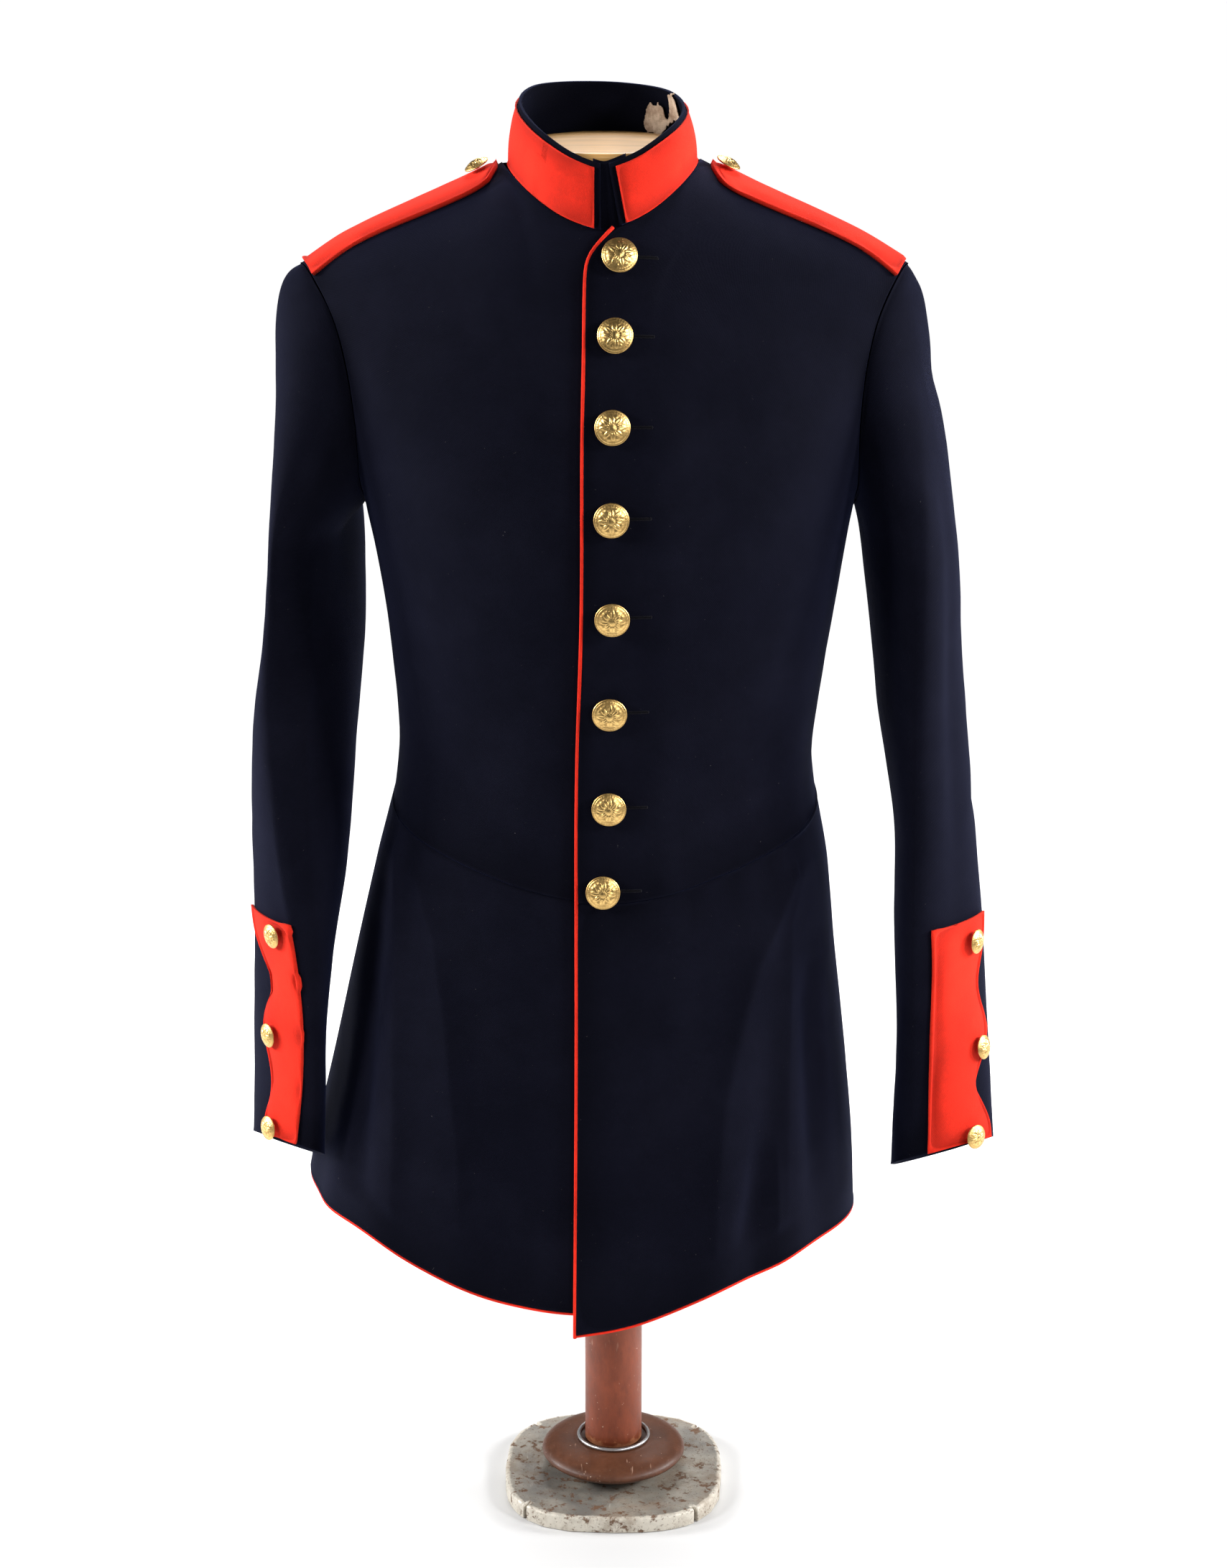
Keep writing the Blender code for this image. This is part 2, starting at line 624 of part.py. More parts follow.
def body_rows(side, panel):
    """Grid of a front or back from the waist seam up to the neckline and shoulder."""
    rows = []
    shares = column_shares(side, panel)
    for up in spread(0, 1, 6)[:-1]:
        row = []
        for share in shares:
            level = ARMPIT
            for _ in range(3):
                turn = mix(first_turn(side, panel, level), SIDE_TURN, share)
                level = mix(read_table(WAIST, turn)[0], ARMPIT, up)
            row.append((side, turn, level))
        rows.append(row)
    for up in YOKE_SHARES:
        row = []
        for share in shares:
            level = ARMPIT
            for _ in range(4):
                turn = mix(first_turn(side, panel, level), armhole_turn(panel, 90 * (1 - up)), share)
                level = ARMPIT + up * (90 - neck_rise(side, mix_top(side, panel, share)))
            row.append((side, turn, level))
        rows.append(row)
    return rows


def mix_top(side, panel, share):
    """Turn of a column where it meets the neckline or the shoulder line."""
    top = ARMPIT + 90 - (neck_rise(side, 1.0) if panel != "back" else neck_rise(side, 179.0))
    return mix(first_turn(side, panel, top), armhole_turn(panel, 0), share)


def skirt_rows(side, panel, steps=7):
    """Grid of a skirt panel from the hem up to the waist seam."""
    rows = []
    shares = spread(0, 1, SKIRT_COLUMNS[panel])
    for up in spread(0, 1, steps):
        row = []
        for share in shares:
            level = SKIRT_MIDDLE
            for _ in range(3):
                turn = mix(first_turn(side, panel, level), SIDE_TURN, share)
                low = read_table(HEM, turn)[0 if side < 0 else 1]
                level = mix(low, read_table(WAIST, turn)[0], up)
            row.append((side, turn, level))
        rows.append(row)
    return rows


def surface_grid(rows, panel):
    """Points and normals of the cloth's inner side for a grid of surface places."""
    grid = []
    for row in rows:
        line = []
        for side, turn, level in row:
            point, normal = body_point(side, turn, level), body_normal(side, turn, level)
            if panel == "over":
                out = (point.x - MIDDLE) * side
                point = point + normal * lap_height(out)
            line.append((point - normal * WALL, normal))
        grid.append(line)
    return grid


PANELS = ((1, "over", "left"), (-1, "under", "right"), (1, "back", "left"), (-1, "back", "right"))


def build_body():
    """Fronts, backs and skirt panels. Returns the body grids for what lies on them."""
    half = SEAM / 2
    grids = {}
    for side, panel, wearer in PANELS:
        centre_gap = half if panel == "back" else 0.0
        part = "back" if panel == "back" else "front"
        rows = pull_edges(surface_grid(body_rows(side, panel), panel),
                          first_row=WAIST_SEAM / 2, last_row=half,
                          first_column=centre_gap, last_column=half)
        cloth(f"{part}_{wearer}", "navy_wool", rows)
        grids[(side, part)] = rows
        rows = pull_edges(surface_grid(skirt_rows(side, panel), panel),
                          last_row=WAIST_SEAM / 2, first_column=centre_gap, last_column=half)
        cloth(f"skirt_{part}_{wearer}", "navy_wool", rows)
        grids[(side, f"skirt_{part}")] = rows
    return grids


# --------------------------------------------------------------------------------- sleeves

def tube_point(side, around, height):
    """A point of the sleeve below its head; around is 0 outside, 90 in front, 180 inside."""
    outer, inner, depth, half_long, twist, tip, lean = read_table(SLEEVES[side], height)
    reach = (outer - inner) / 2
    turn = math.radians(twist)
    thin_square = reach ** 2 - (half_long * math.sin(turn)) ** 2
    half_thin = math.sqrt(max(thin_square, THINNEST ** 2)) / math.cos(turn)
    out = math.copysign(half_thin * along(around, SLEEVE_CORNER), math.cos(math.radians(around)))
    forward = math.copysign(half_long * across(around, SLEEVE_CORNER), math.sin(math.radians(around)))
    shift = out * math.cos(turn) - forward * math.sin(turn)
    ahead = forward * math.cos(turn) + out * math.sin(turn)
    rise = tip * ahead + lean * shift
    return Vector((side * ((outer + inner) / 2 + shift), depth - ahead, height + rise))


def armhole_point(side, around):
    """The armhole's edge: around is 0 on the shoulder, 90 in front, 180 at the armpit."""
    around = (around + 360) % 360
    back = around > 180
    share = (360 - around if back else around) / 180
    rise = 90 * share ** ARMHOLE_POWER
    turn = armhole_turn("back" if back else "front", rise)
    return body_point(side, turn, ARMPIT + 90 - rise)


def head_point(side, around, down):
    """A point of the sleeve head; down is 0 on the armhole and 1 where the tube begins."""
    top = (1 + math.cos(math.radians(around))) / 2
    pull = top ** HEAD_POWER
    top_outward, top_drop, top_strength, arrival = SLEEVE_HEADS[side]
    outward, drop = mix(ARMPIT_OUTWARD, top_outward, pull), mix(1, top_drop, pull)
    forward = HEAD_FORWARD * math.sin(math.radians(around))
    strength = mix(ARMPIT_STRENGTH, top_strength, pull)
    leaving = Vector((side * outward, -forward, -drop)) * strength
    start = armhole_point(side, around) + leaving.normalized() * ARMHOLE_SEAM
    end = tube_point(side, around, SLEEVE_TOP)
    heading = (tube_point(side, around, SLEEVE_TOP - TUBE_STEP) - end) / TUBE_STEP
    arriving = heading * mix(INNER_ARRIVAL, arrival, top)
    return hermite(start, leaving, end, arriving, down)


def sleeve_point(side, around, level):
    """Sleeve surface: level is a height on the tube, and SLEEVE_TOP + 1 - down on the head."""
    if level <= SLEEVE_TOP:
        return tube_point(side, around, level)
    return head_point(side, around, 1 - (level - SLEEVE_TOP))


def sleeve_normal(side, around, level):
    step = 0.02 if level > SLEEVE_TOP else 1.0
    low = sleeve_point(side, around, level - step)
    high = sleeve_point(side, around, min(level + step, SLEEVE_TOP + 1))
    before, after = sleeve_point(side, around - 2, level), sleeve_point(side, around + 2, level)
    return ((high - low).cross(after - before) * side).normalized()


def sleeve_grid(side, columns):
    levels = spread(SLEEVES[side][0][0], SLEEVE_TOP, TUBE_ROWS)
    levels += [SLEEVE_TOP + up for up in HEAD_ROWS]
    grid = []
    for level in levels:
        line = []
        for around in columns:
            normal = sleeve_normal(side, around, level)
            line.append((sleeve_point(side, around, level) - normal * WALL, normal))
        grid.append(line)
    return grid


def build_sleeves():
    half = SLEEVE_SEAM / 2
    for side, wearer in ((1, "left"), (-1, "right")):
        columns = [-a for a in ROUND_SLEEVE[HIND_SEAM:0:-1]] + list(ROUND_SLEEVE[:FRONT_SEAM + 1])
        upper = pull_edges(sleeve_grid(side, columns), first_column=half, last_column=half)
        cloth(f"topsleeve_{wearer}", "navy_wool", upper)
        columns = list(ROUND_SLEEVE[FRONT_SEAM:]) + [360 - a for a in ROUND_SLEEVE[-2:HIND_SEAM - 1:-1]]
        under = pull_edges(sleeve_grid(side, columns), first_column=half, last_column=half)
        cloth(f"undersleeve_{wearer}", "navy_wool", under)


def cuff_rows(side):
    grid = []
    table = CUFF_PANELS[side]
    for height in spread(table[0][0], table[-1][0], 12):
        straight, scalloped = read_table(table, height)
        columns = spread(straight, max(scalloped + 6, 0), 3) + [scalloped]
        grid.append([(tube_point(side, around, height), sleeve_normal(side, around, height))
                     for around in columns])
    return grid


def build_cuffs():
    for side, wearer in ((1, "left"), (-1, "right")):
        cloth(f"cuff_panel_{wearer}", "red_wool", cuff_rows(side), PANEL_WALL, PANEL_GAP)
        for number, (height, around) in enumerate(CUFF_BUTTONS[side], 1):
            normal = sleeve_normal(side, around, height)
            seat = tube_point(side, around, height) + normal * (PANEL_GAP + PANEL_WALL)
            button(f"cuff_button_{wearer}_{number}", seat, normal, SMALL_BUTTON)


# ---------------------------------------------------------------------------------- collar

def collar_columns(side):
    """Neckline points and turns round the collar for one side, from its front end."""
    columns = []
    start_base = COLLAR_START[side][0]
    for panel in ("over" if side > 0 else "under", "back"):
        turns = [mix_top(side, panel, share) for share in column_shares(side, panel)[:NECK_STEPS + 1]]
        if panel == "back":
            turns = turns[::-1][1:]
        columns += turns
    top = ARMPIT + 90 - neck_rise(side, 1.0)
    start = edge_turn(side, start_base, top)
    return [start] + [turn for turn in columns if turn > start + 1]


def collar_angle(side, point):
    """Angle round the collar of a neckline point."""
    depth = point.y - RIDGE_DEPTH
    corner = COLLAR_FRONT_CORNER if depth < 0 else COLLAR_BACK_CORNER
    share = min(abs(point.x - MIDDLE) / NECK_WIDTH[side], 1.0)
    angle = math.degrees(math.asin(share ** (corner / 2)))
    return angle if depth < 0 else 180 - angle


def collar_lift(side, out):
    """The collar's lower edge rides over the lapped fronts, and just clears the under-front."""
    return lap_height(out) if side > 0 else COLLAR_SEAM * ease(out, LAP_NONE, LAP_FULL)


def collar_line(side, column, share, start_top):
    """Point of the collar's outer side on one column, from its base up to its top edge."""
    level = ARMPIT + 90 - neck_rise(side, column)
    base = body_point(side, column, level)
    angle = collar_angle(side, base)
    lift = body_normal(side, column, level) * collar_lift(side, abs(base.x - MIDDLE))
    base = base + lift + Vector((0, 0, COLLAR_SEAM))
    corner = COLLAR_FRONT_CORNER if angle < 90 else COLLAR_BACK_CORNER
    reach = COLLAR_TOP_FRONT if angle < 90 else COLLAR_TOP_BACK
    top_out = COLLAR_TOP_WIDTH[side] * across(angle, corner)
    if start_top is not None:
        top_out = start_top
        angle = math.degrees(math.asin((top_out / COLLAR_TOP_WIDTH[side]) ** (corner / 2)))
    depth = math.copysign(reach * along(angle, corner), angle - 90)
    height = read_table(COLLAR_TOP, angle)[0 if side < 0 else 1]
    top = Vector((MIDDLE + side * top_out, RIDGE_DEPTH + depth, height))
    bow = Vector((top.x - MIDDLE, top.y - RIDGE_DEPTH, 0)).normalized() * COLLAR_BOW
    return mix(base, top, share) + bow * 4 * share * (1 - share)


def collar_outline(shares):
    """Grid of the collar's outer side, from one front end round the back to the other."""
    columns = []
    for side in (-1, 1):
        turns = collar_columns(side)
        lines = [(side, turn, COLLAR_START[side][1] if i == 0 else None)
                 for i, turn in enumerate(turns)]
        columns += lines if side < 0 else lines[::-1][1:]
    points = [[collar_line(side, turn, share, top) for side, turn, top in columns]
              for share in shares]
    grid = []
    for i, row in enumerate(points):
        line = []
        for j, point in enumerate(row):
            before, after = row[max(j - 1, 0)], row[min(j + 1, len(row) - 1)]
            low, high = points[max(i - 1, 0)][j], points[min(i + 1, len(points) - 1)][j]
            normal = (after - before).cross(high - low).normalized()
            outward = point - Vector((MIDDLE, RIDGE_DEPTH, point.z))
            line.append((point, normal if normal.dot(outward) > 0 else -normal))
        grid.append(line)
    return grid


def shifted(rows, distance):
    return [[(point + normal * distance, normal) for point, normal in row] for row in rows]


def build_collar():
    stand = collar_outline(STAND_ROWS)
    cloth("collar_stand", "navy_wool", shifted(stand, -COLLAR_WALL), COLLAR_WALL)
    facing = collar_outline(FACING_ROWS)
    pull_edges(facing, first_column=COLLAR_BORDER, last_column=COLLAR_BORDER)
    cloth("collar_facing", "red_wool", facing, FACING_WALL, FACING_GAP)
    tab = []
    for row in collar_outline(TAB_ROWS):
        first, last = row[0], row[-1]
        tab.append([row[1], mean(first, last, TAB_SHARE), mean(first, last, 1 - TAB_SHARE), row[-2]])
    cloth("collar_tab", "navy_wool", shifted(tab, -COLLAR_WALL - TAB_DEPTH), TAB_WALL)
    remnant = [row[REMNANT_COLUMNS] for row in collar_outline(REMNANT_ROWS)]
    cloth("collar_lining_remnant", "cream_cotton", shifted(remnant, -COLLAR_WALL - REMNANT_DEPTH),
          REMNANT_WALL)


def mean(first, second, share):
    """A place between two points with normals."""
    return mix(first[0], second[0], share), mix(first[1], second[1], share).normalized()


# ------------------------------------------------------------- straps, piping and buttons

def button(name, seat, normal, diameter):
    """A domed button whose shank ends just above the cloth."""
    radius = diameter / 2
    profile = ((0, 0), (radius * 0.25, 0), (radius * 0.25, radius * 0.12), (radius * 0.9, radius * 0.14),
               (radius, radius * 0.24), (radius * 0.72, radius * 0.46), (0, radius * 0.58))
    turned(name, "gilt_brass", profile, seat + normal * BUTTON_GAP, normal, segments=14)


def build_front_buttons():
    for number, (reach, height) in enumerate(FRONT_BUTTONS, 1):
        out = reach - MIDDLE
        level = height
        if height > ARMPIT:
            level = bisect(lambda lv: body_point(1, 0.5, lv).z < height, ARMPIT, ARMPIT + 89)
        turn = edge_turn(1, out, level)
        normal = body_normal(1, turn, level)
        seat = body_point(1, turn, level) + normal * LAP
        button(f"front_button_{number}", seat, normal, BIG_BUTTON)


def panel_tree(grids):
    """The outer side of the body panels, for what is laid on the shoulders."""
    verts, faces = [], []
    for side in (-1, 1):
        for part in ("front", "back"):
            rows = grids[(side, part)]
            width = len(rows[0])
            start = len(verts)
            verts += [point + normal * WALL for row in rows for point, normal in row]
            for i in range(len(rows) - 1):
                for j in range(width - 1):
                    a = start + i * width + j
                    faces.append((a, a + 1, a + width + 1, a + width))
    return BVHTree.FromPolygons(verts, faces)


def landing(tree, x, y):
    """Point and normal of the shoulders below a place, stepping off the seam's gap."""
    hits = [tree.ray_cast(Vector((x, y + step, 1200)), Vector((0, 0, -1))) for step in (-0.5, 0.5)]
    point, normal = max((hit[:2] for hit in hits if hit[0]), key=lambda hit: hit[0].z)
    return point, normal if normal.z > 0 else -normal


def armhole_reach(side, depth):
    """How far out the armhole's edge lies at one depth."""
    way = -1 if depth > RIDGE_DEPTH else 1
    away = abs(depth - RIDGE_DEPTH)
    around = bisect(lambda a: abs(armhole_point(side, way * a).y - RIDGE_DEPTH) < away, 0, 90)
    return abs(armhole_point(side, way * around).x - MIDDLE)


def strap_rows(side, tree):
    """Grid of a shoulder strap laid on the shoulder, rounded at the collar."""
    grid = []
    for out in STRAP_ROWS:
        into = min((out - STRAP_INNER) / STRAP_ROUND, 1.0)
        swell = mix(STRAP_BLUNT, 1, max(1 - (1 - into) ** 3, 0.0) ** 0.5)
        front_swell = swell * mix(1, STRAP_TAPER, ease(out, STRAP_INNER, STRAP_OUTER))
        line = []
        for across_strap in STRAP_WIDTHS:
            depth = RIDGE_DEPTH + across_strap * (front_swell if across_strap < 0 else swell)
            cut = max(STRAP_OUTER - armhole_reach(side, depth) + STRAP_MARGIN, 0.0)
            reach = out - cut * ease(out, STRAP_BEND, STRAP_OUTER)
            line.append(landing(tree, MIDDLE + side * reach, depth))
        grid.append(line)
    return grid


def smooth_normals(rows):
    """Normals taken from the grid itself, pointing up."""
    grid = []
    for i, row in enumerate(rows):
        line = []
        for j, (point, _) in enumerate(row):
            before, after = row[max(j - 1, 0)][0], row[min(j + 1, len(row) - 1)][0]
            low, high = rows[max(i - 1, 0)][j][0], rows[min(i + 1, len(rows) - 1)][j][0]
            normal = (after - before).cross(high - low).normalized()
            line.append((point, normal if normal.z > 0 else -normal))
        grid.append(line)
    return grid


def build_straps(grids):
    tree = panel_tree(grids)
    for side, wearer in ((1, "left"), (-1, "right")):
        rows = smooth_normals(strap_rows(side, tree))
        cloth(f"shoulder_strap_{wearer}", "red_wool", rows, STRAP_WALL, STRAP_GAP)
        hit, normal = landing(tree, MIDDLE + side * STRAP_BUTTON[side], 0)
        seat = hit + normal * (STRAP_GAP + STRAP_WALL + TOUCH)
        button(f"strap_button_{wearer}", seat, normal, SMALL_BUTTON)


def build_piping(grids):
    over, skirt = grids[(1, "front")], grids[(1, "skirt_front")]
    edge = [row[0] for row in skirt[:-1]] + [row[0] for row in over]
    inside = [row[1] for row in skirt[:-1]] + [row[1] for row in over]
    path = []
    for i, ((point, normal), (other, _)) in enumerate(zip(edge, inside)):
        heading = (edge[min(i + 1, len(edge) - 1)][0] - edge[max(i - 1, 0)][0]).normalized()
        outward = point - other
        outward = (outward - heading * outward.dot(heading)).normalized()
        path.append(point + normal * WALL / 2 + outward * (PIPING_FRONT + PIPING_GAP))
    path.insert(0, path[0] - Vector((0, 0, 2 * PIPING_HEM + SEAM)))
    tube("piping_front", "red_wool", path, PIPING_FRONT, 6)
    order = ((1, "skirt_front", 1), (1, "skirt_back", -1), (-1, "skirt_back", 1), (-1, "skirt_front", -1))
    hem = []
    for side, part, way in order:
        row = grids[(side, part)][0][::way]
        hem += [point + normal * WALL / 2 - Vector((0, 0, PIPING_HEM + SEAM)) for point, normal in row]
        if (side, part) != (-1, "skirt_front"):
            hem.pop()
    tube("piping_hem", "red_wool", hem, PIPING_HEM, 5)


# ------------------------------------------------------------------------ the form and stand

def build_form():
    bm = bmesh.new()
    segments = 24
    rings = []
    for height in FORM_ROWS:
        width, front, back = read_table(FORM, height)
        ring = []
        for k in range(segments):
            turn = 360 * k / segments
            reach = front if turn < 90 or turn > 270 else back
            depth = math.copysign(reach * along(turn, FORM_CORNER), -math.cos(math.radians(turn)))
            out = math.copysign(width * across(turn, FORM_CORNER), math.sin(math.radians(turn)))
            ring.append(bm.verts.new((MIDDLE + out, depth, height)))
        rings.append(ring)
    for low, high in zip(rings, rings[1:]):
        for k in range(segments):
            m = (k + 1) % segments
            bm.faces.new((low[k], low[m], high[m], high[k]))
    bm.faces.new(rings[0])
    bm.faces.new(rings[-1])
    make_object("torso_form", "form_linen", bm, Vector((MIDDLE, 0, FORM_MIDDLE)))


def extruded(name, material, outline, levels, centre):
    """A closed prism through (height, inset) levels of one outline."""
    bm = bmesh.new()
    middle = sum(outline, Vector()) / len(outline)
    rings = []
    for height, inset in levels:
        rings.append([bm.verts.new(Vector((p.x, p.y, height)) - (p - middle).normalized() * inset)
                      for p in outline])
    count = len(outline)
    for low, high in zip(rings, rings[1:]):
        for k in range(count):
            m = (k + 1) % count
            bm.faces.new((low[k], low[m], high[m], high[k]))
    bm.faces.new(rings[0])
    bm.faces.new(rings[-1])
    return make_object(name, material, bm, centre)


def build_neck_cap():
    outline = [Vector((MIDDLE + CAP_WIDTH * math.cos(a), CAP_CENTRE_DEPTH + CAP_DEPTH * math.sin(a), 0))
               for a in (math.tau * k / 32 for k in range(32))]
    levels = ((CAP_FLOOR, CAP_BEVEL), (CAP_FLOOR + CAP_BEVEL, 0.0), (CAP_TOP - CAP_BEVEL, 0.0),
              (CAP_TOP, CAP_BEVEL))
    extruded("neck_cap", "pale_wood", outline, levels, Vector((MIDDLE, CAP_CENTRE_DEPTH, CAP_TOP)))


def plate_outline():
    """Rounded square with a small notch near each corner."""
    notch_turn = math.asin((NOTCH_AT / PLATE_HALF) ** (PLATE_CORNER / 2))
    width = NOTCH_HALF / PLATE_HALF
    points = []
    for quarter in range(4):
        steps = [notch_turn * i / 5 for i in range(5)] + [notch_turn - width]
        cut = [notch_turn - width, notch_turn + width]
        rest = [notch_turn + width] + [mix(notch_turn, math.pi / 2, i / 3) for i in (1, 2)]
        places = [(a, 0.0) for a in steps] + [(a, NOTCH_DEPTH) for a in cut] + [(a, 0.0) for a in rest]
        for a, depth in places:
            x = PLATE_HALF * math.sin(a) ** (2 / PLATE_CORNER)
            y = -PLATE_HALF * math.cos(a) ** (2 / PLATE_CORNER)
            point = Vector((x, y, 0))
            point -= point.normalized() * depth
            turn = quarter * math.pi / 2
            points.append(Vector((point.x * math.cos(turn) - point.y * math.sin(turn),
                                  point.x * math.sin(turn) + point.y * math.cos(turn), 0)))
    return points


def build_stand():
    levels = ((0, 0.0), (PLATE_THICK - PLATE_BEVEL, 0.0), (PLATE_THICK, PLATE_BEVEL))
    extruded("base_plate", "worn_paint", plate_outline(), levels, Vector((0, 0, 0)))
    floor = PLATE_THICK + TOUCH
    seat = RING_RADIUS + FLANGE_LIP
    shoulder = floor + FLANGE_LIP
    round_over = [(seat + (FLANGE_RADIUS - seat) * math.cos(a),
                   shoulder + (FLANGE_TOP - shoulder) * math.sin(a))
                  for a in (math.pi / 2 * k / 5 for k in range(6))]
    profile = [(0, floor), (FLANGE_RADIUS - FLANGE_BEVEL, floor)] + round_over + [(0, FLANGE_TOP)]
    turned("flange", "red_wood", profile, Vector((0, 0, 0)), segments=36)
    pole_low, pole_high = FLANGE_TOP + TOUCH, FORM_BOTTOM - TOUCH
    turned("pole", "red_wood", ((0, pole_low), (POLE_RADIUS, pole_low), (POLE_RADIUS, pole_high),
                                (0, pole_high)), Vector((0, 0, 0)), segments=24)
    build_ring()


def build_ring():
    """The steel ring that lies on the flange round the pole."""
    bm = bmesh.new()
    around, wire = 24, 6
    height = FLANGE_TOP + TOUCH + RING_WIRE
    rings = []
    for i in range(around):
        a = math.tau * i / around
        rings.append([bm.verts.new(((RING_RADIUS + RING_WIRE * math.cos(b)) * math.cos(a),
                                    (RING_RADIUS + RING_WIRE * math.cos(b)) * math.sin(a),
                                    height + RING_WIRE * math.sin(b)))
                      for b in (math.tau * k / wire for k in range(wire))])
    for ring, following in zip(rings, rings[1:] + rings[:1]):
        for k in range(wire):
            m = (k + 1) % wire
            bm.faces.new((ring[k], ring[m], following[m], following[k]))
    make_object("pole_ring", "steel", bm, Vector((0, 0, height)))


def main():
    for piece in list(bpy.data.objects):
        bpy.data.objects.remove(piece)
    grids = build_body()
    build_sleeves()
    build_cuffs()
    build_collar()
    build_front_buttons()
    build_straps(grids)
    build_piping(grids)
    build_form()
    build_neck_cap()
    build_stand()


main()
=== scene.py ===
"""Military dress tunic on a limbless dress form, dressed for rendering.

The cut cloth starts from the walls of the frame: each wall becomes a fine sheet with its seams
drawn together, pressed edges and soft wrinkles. Buttons, buttonholes, piping, the torn lining and
the turned stand are modelled here at full detail. Sizes are in metres. +X is the wearer's left,
-Y the front, and the pole's axis is x = y = 0.
"""

import json
import math

import bmesh
import bpy
import numpy as np
from mathutils import Matrix, Vector, noise
from mathutils.bvhtree import BVHTree
from mathutils.kdtree import KDTree

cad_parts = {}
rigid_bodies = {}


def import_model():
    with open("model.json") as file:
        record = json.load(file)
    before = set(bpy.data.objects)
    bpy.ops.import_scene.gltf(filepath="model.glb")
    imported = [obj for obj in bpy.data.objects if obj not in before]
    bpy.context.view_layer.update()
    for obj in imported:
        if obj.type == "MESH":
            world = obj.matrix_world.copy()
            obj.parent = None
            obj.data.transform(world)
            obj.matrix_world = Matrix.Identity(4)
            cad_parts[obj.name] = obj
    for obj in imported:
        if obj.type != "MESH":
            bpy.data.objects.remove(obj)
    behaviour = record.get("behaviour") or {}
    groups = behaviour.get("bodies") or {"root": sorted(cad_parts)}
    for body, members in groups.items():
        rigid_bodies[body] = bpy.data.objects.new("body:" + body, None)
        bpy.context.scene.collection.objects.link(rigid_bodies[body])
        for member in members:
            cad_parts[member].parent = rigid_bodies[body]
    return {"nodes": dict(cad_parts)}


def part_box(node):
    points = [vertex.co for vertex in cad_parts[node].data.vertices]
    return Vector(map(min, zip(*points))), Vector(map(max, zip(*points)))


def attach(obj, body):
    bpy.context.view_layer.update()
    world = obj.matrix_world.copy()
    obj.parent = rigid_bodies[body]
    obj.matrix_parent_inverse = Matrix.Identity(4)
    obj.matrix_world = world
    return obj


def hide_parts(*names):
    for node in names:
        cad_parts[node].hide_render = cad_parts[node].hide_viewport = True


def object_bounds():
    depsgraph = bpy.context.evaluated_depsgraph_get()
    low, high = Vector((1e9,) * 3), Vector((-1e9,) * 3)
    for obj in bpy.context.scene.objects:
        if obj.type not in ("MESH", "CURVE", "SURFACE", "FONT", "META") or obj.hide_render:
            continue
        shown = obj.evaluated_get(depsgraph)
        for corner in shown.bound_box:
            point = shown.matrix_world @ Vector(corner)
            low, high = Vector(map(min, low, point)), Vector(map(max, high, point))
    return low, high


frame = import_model()
CAD_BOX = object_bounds()

bl_info = {
    "name": "Dress Tunic on a Stand",
    "version": (1, 0, 0),
    "blender": (4, 5, 0),
    "location": "View3D > Sidebar > Tunic",
    "description": "Builds the cloth, buttons and stand of a military dress tunic",
    "category": "Object",
}

MM = 0.001
MIDDLE = -6 * MM              # the tunic's middle, beside the pole's axis
WELD = 0.01 * MM
SEAM_REACH = 1.9 * MM         # two cut edges that lie this near are sewn together
SEAM_SHARE = 0.49             # each comes this share of the way
RIM_BEND = math.radians(40)   # a wall turns more sharply than this onto its rim
RIM_WIDTH = 1.25              # and its rim is narrower than this, as a share of its thickness
CORNER_BEND = math.radians(140)   # a rim that turns more sharply than this has a corner
SLICE = 0.03                  # from one height to the next where a middle line is measured
SIDES = ("left", "right")

BODY_NODES = [f"{part}_{wearer}" for part in ("front", "back", "skirt_front", "skirt_back")
              for wearer in SIDES]

# Mean radius of each part, which turns an angle round it into a length of cloth.
BODY_RADIUS, SLEEVE_RADIUS, COLLAR_RADIUS, FORM_RADIUS = 0.155, 0.05, 0.065, 0.15


# ------------------------------------------------------------------------------ settings

def colour(name, description, default):
    return bpy.props.FloatVectorProperty(name=name, description=description, default=default,
                                         size=3, min=0.0, max=1.0, subtype="COLOR")


def length(name, description, default):
    return bpy.props.FloatProperty(name=name, description=description, default=default,
                                   min=0.0, unit="LENGTH", precision=5)


def factor(name, description, default, most=1.0):
    return bpy.props.FloatProperty(name=name, description=description, default=default,
                                   min=0.0, max=most, subtype="FACTOR")


class ClothSettings(bpy.types.PropertyGroup):
    """Colours and finish of the tunic's cloth."""
    wool: colour("Wool", "Colour of the dark body cloth", (0.0028, 0.0029, 0.0065))
    facing: colour("Facing", "Colour of the collar, straps and cuff panels", (0.60, 0.020, 0.008))
    lining: colour("Lining", "Colour of the torn lining", (0.72, 0.55, 0.40))
    groove: length("Seam groove", "How deep the cut edges are pressed in", 0.45 * MM)
    wrinkles: factor("Wrinkles", "Strength of the soft wrinkles", 1.0, 3.0)
    nap: length("Nap", "Height of the raised nap", 0.25 * MM)


class ButtonSettings(bpy.types.PropertyGroup):
    """Size and finish of the gilt buttons."""
    gilt: colour("Gilt", "Colour of the clean gilt", (0.80, 0.54, 0.20))
    tarnish: colour("Tarnish", "Colour of the dark hollows", (0.16, 0.075, 0.018))
    relief: factor("Relief", "Height of the struck pattern, as a share of the radius", 0.05)


class StandSettings(bpy.types.PropertyGroup):
    """Colours of the form and its stand."""
    cover: colour("Cover", "Colour of the form's linen cover", (0.52, 0.46, 0.36))
    cap: colour("Neck cap", "Colour of the pale wooden cap", (0.60, 0.33, 0.105))
    pole: colour("Pole", "Colour of the stained wood", (0.18, 0.040, 0.016))
    paint: colour("Paint", "Colour of the worn base paint", (0.150, 0.140, 0.125))
    rust: colour("Rust", "Colour of the rust on the base", (0.115, 0.052, 0.022))


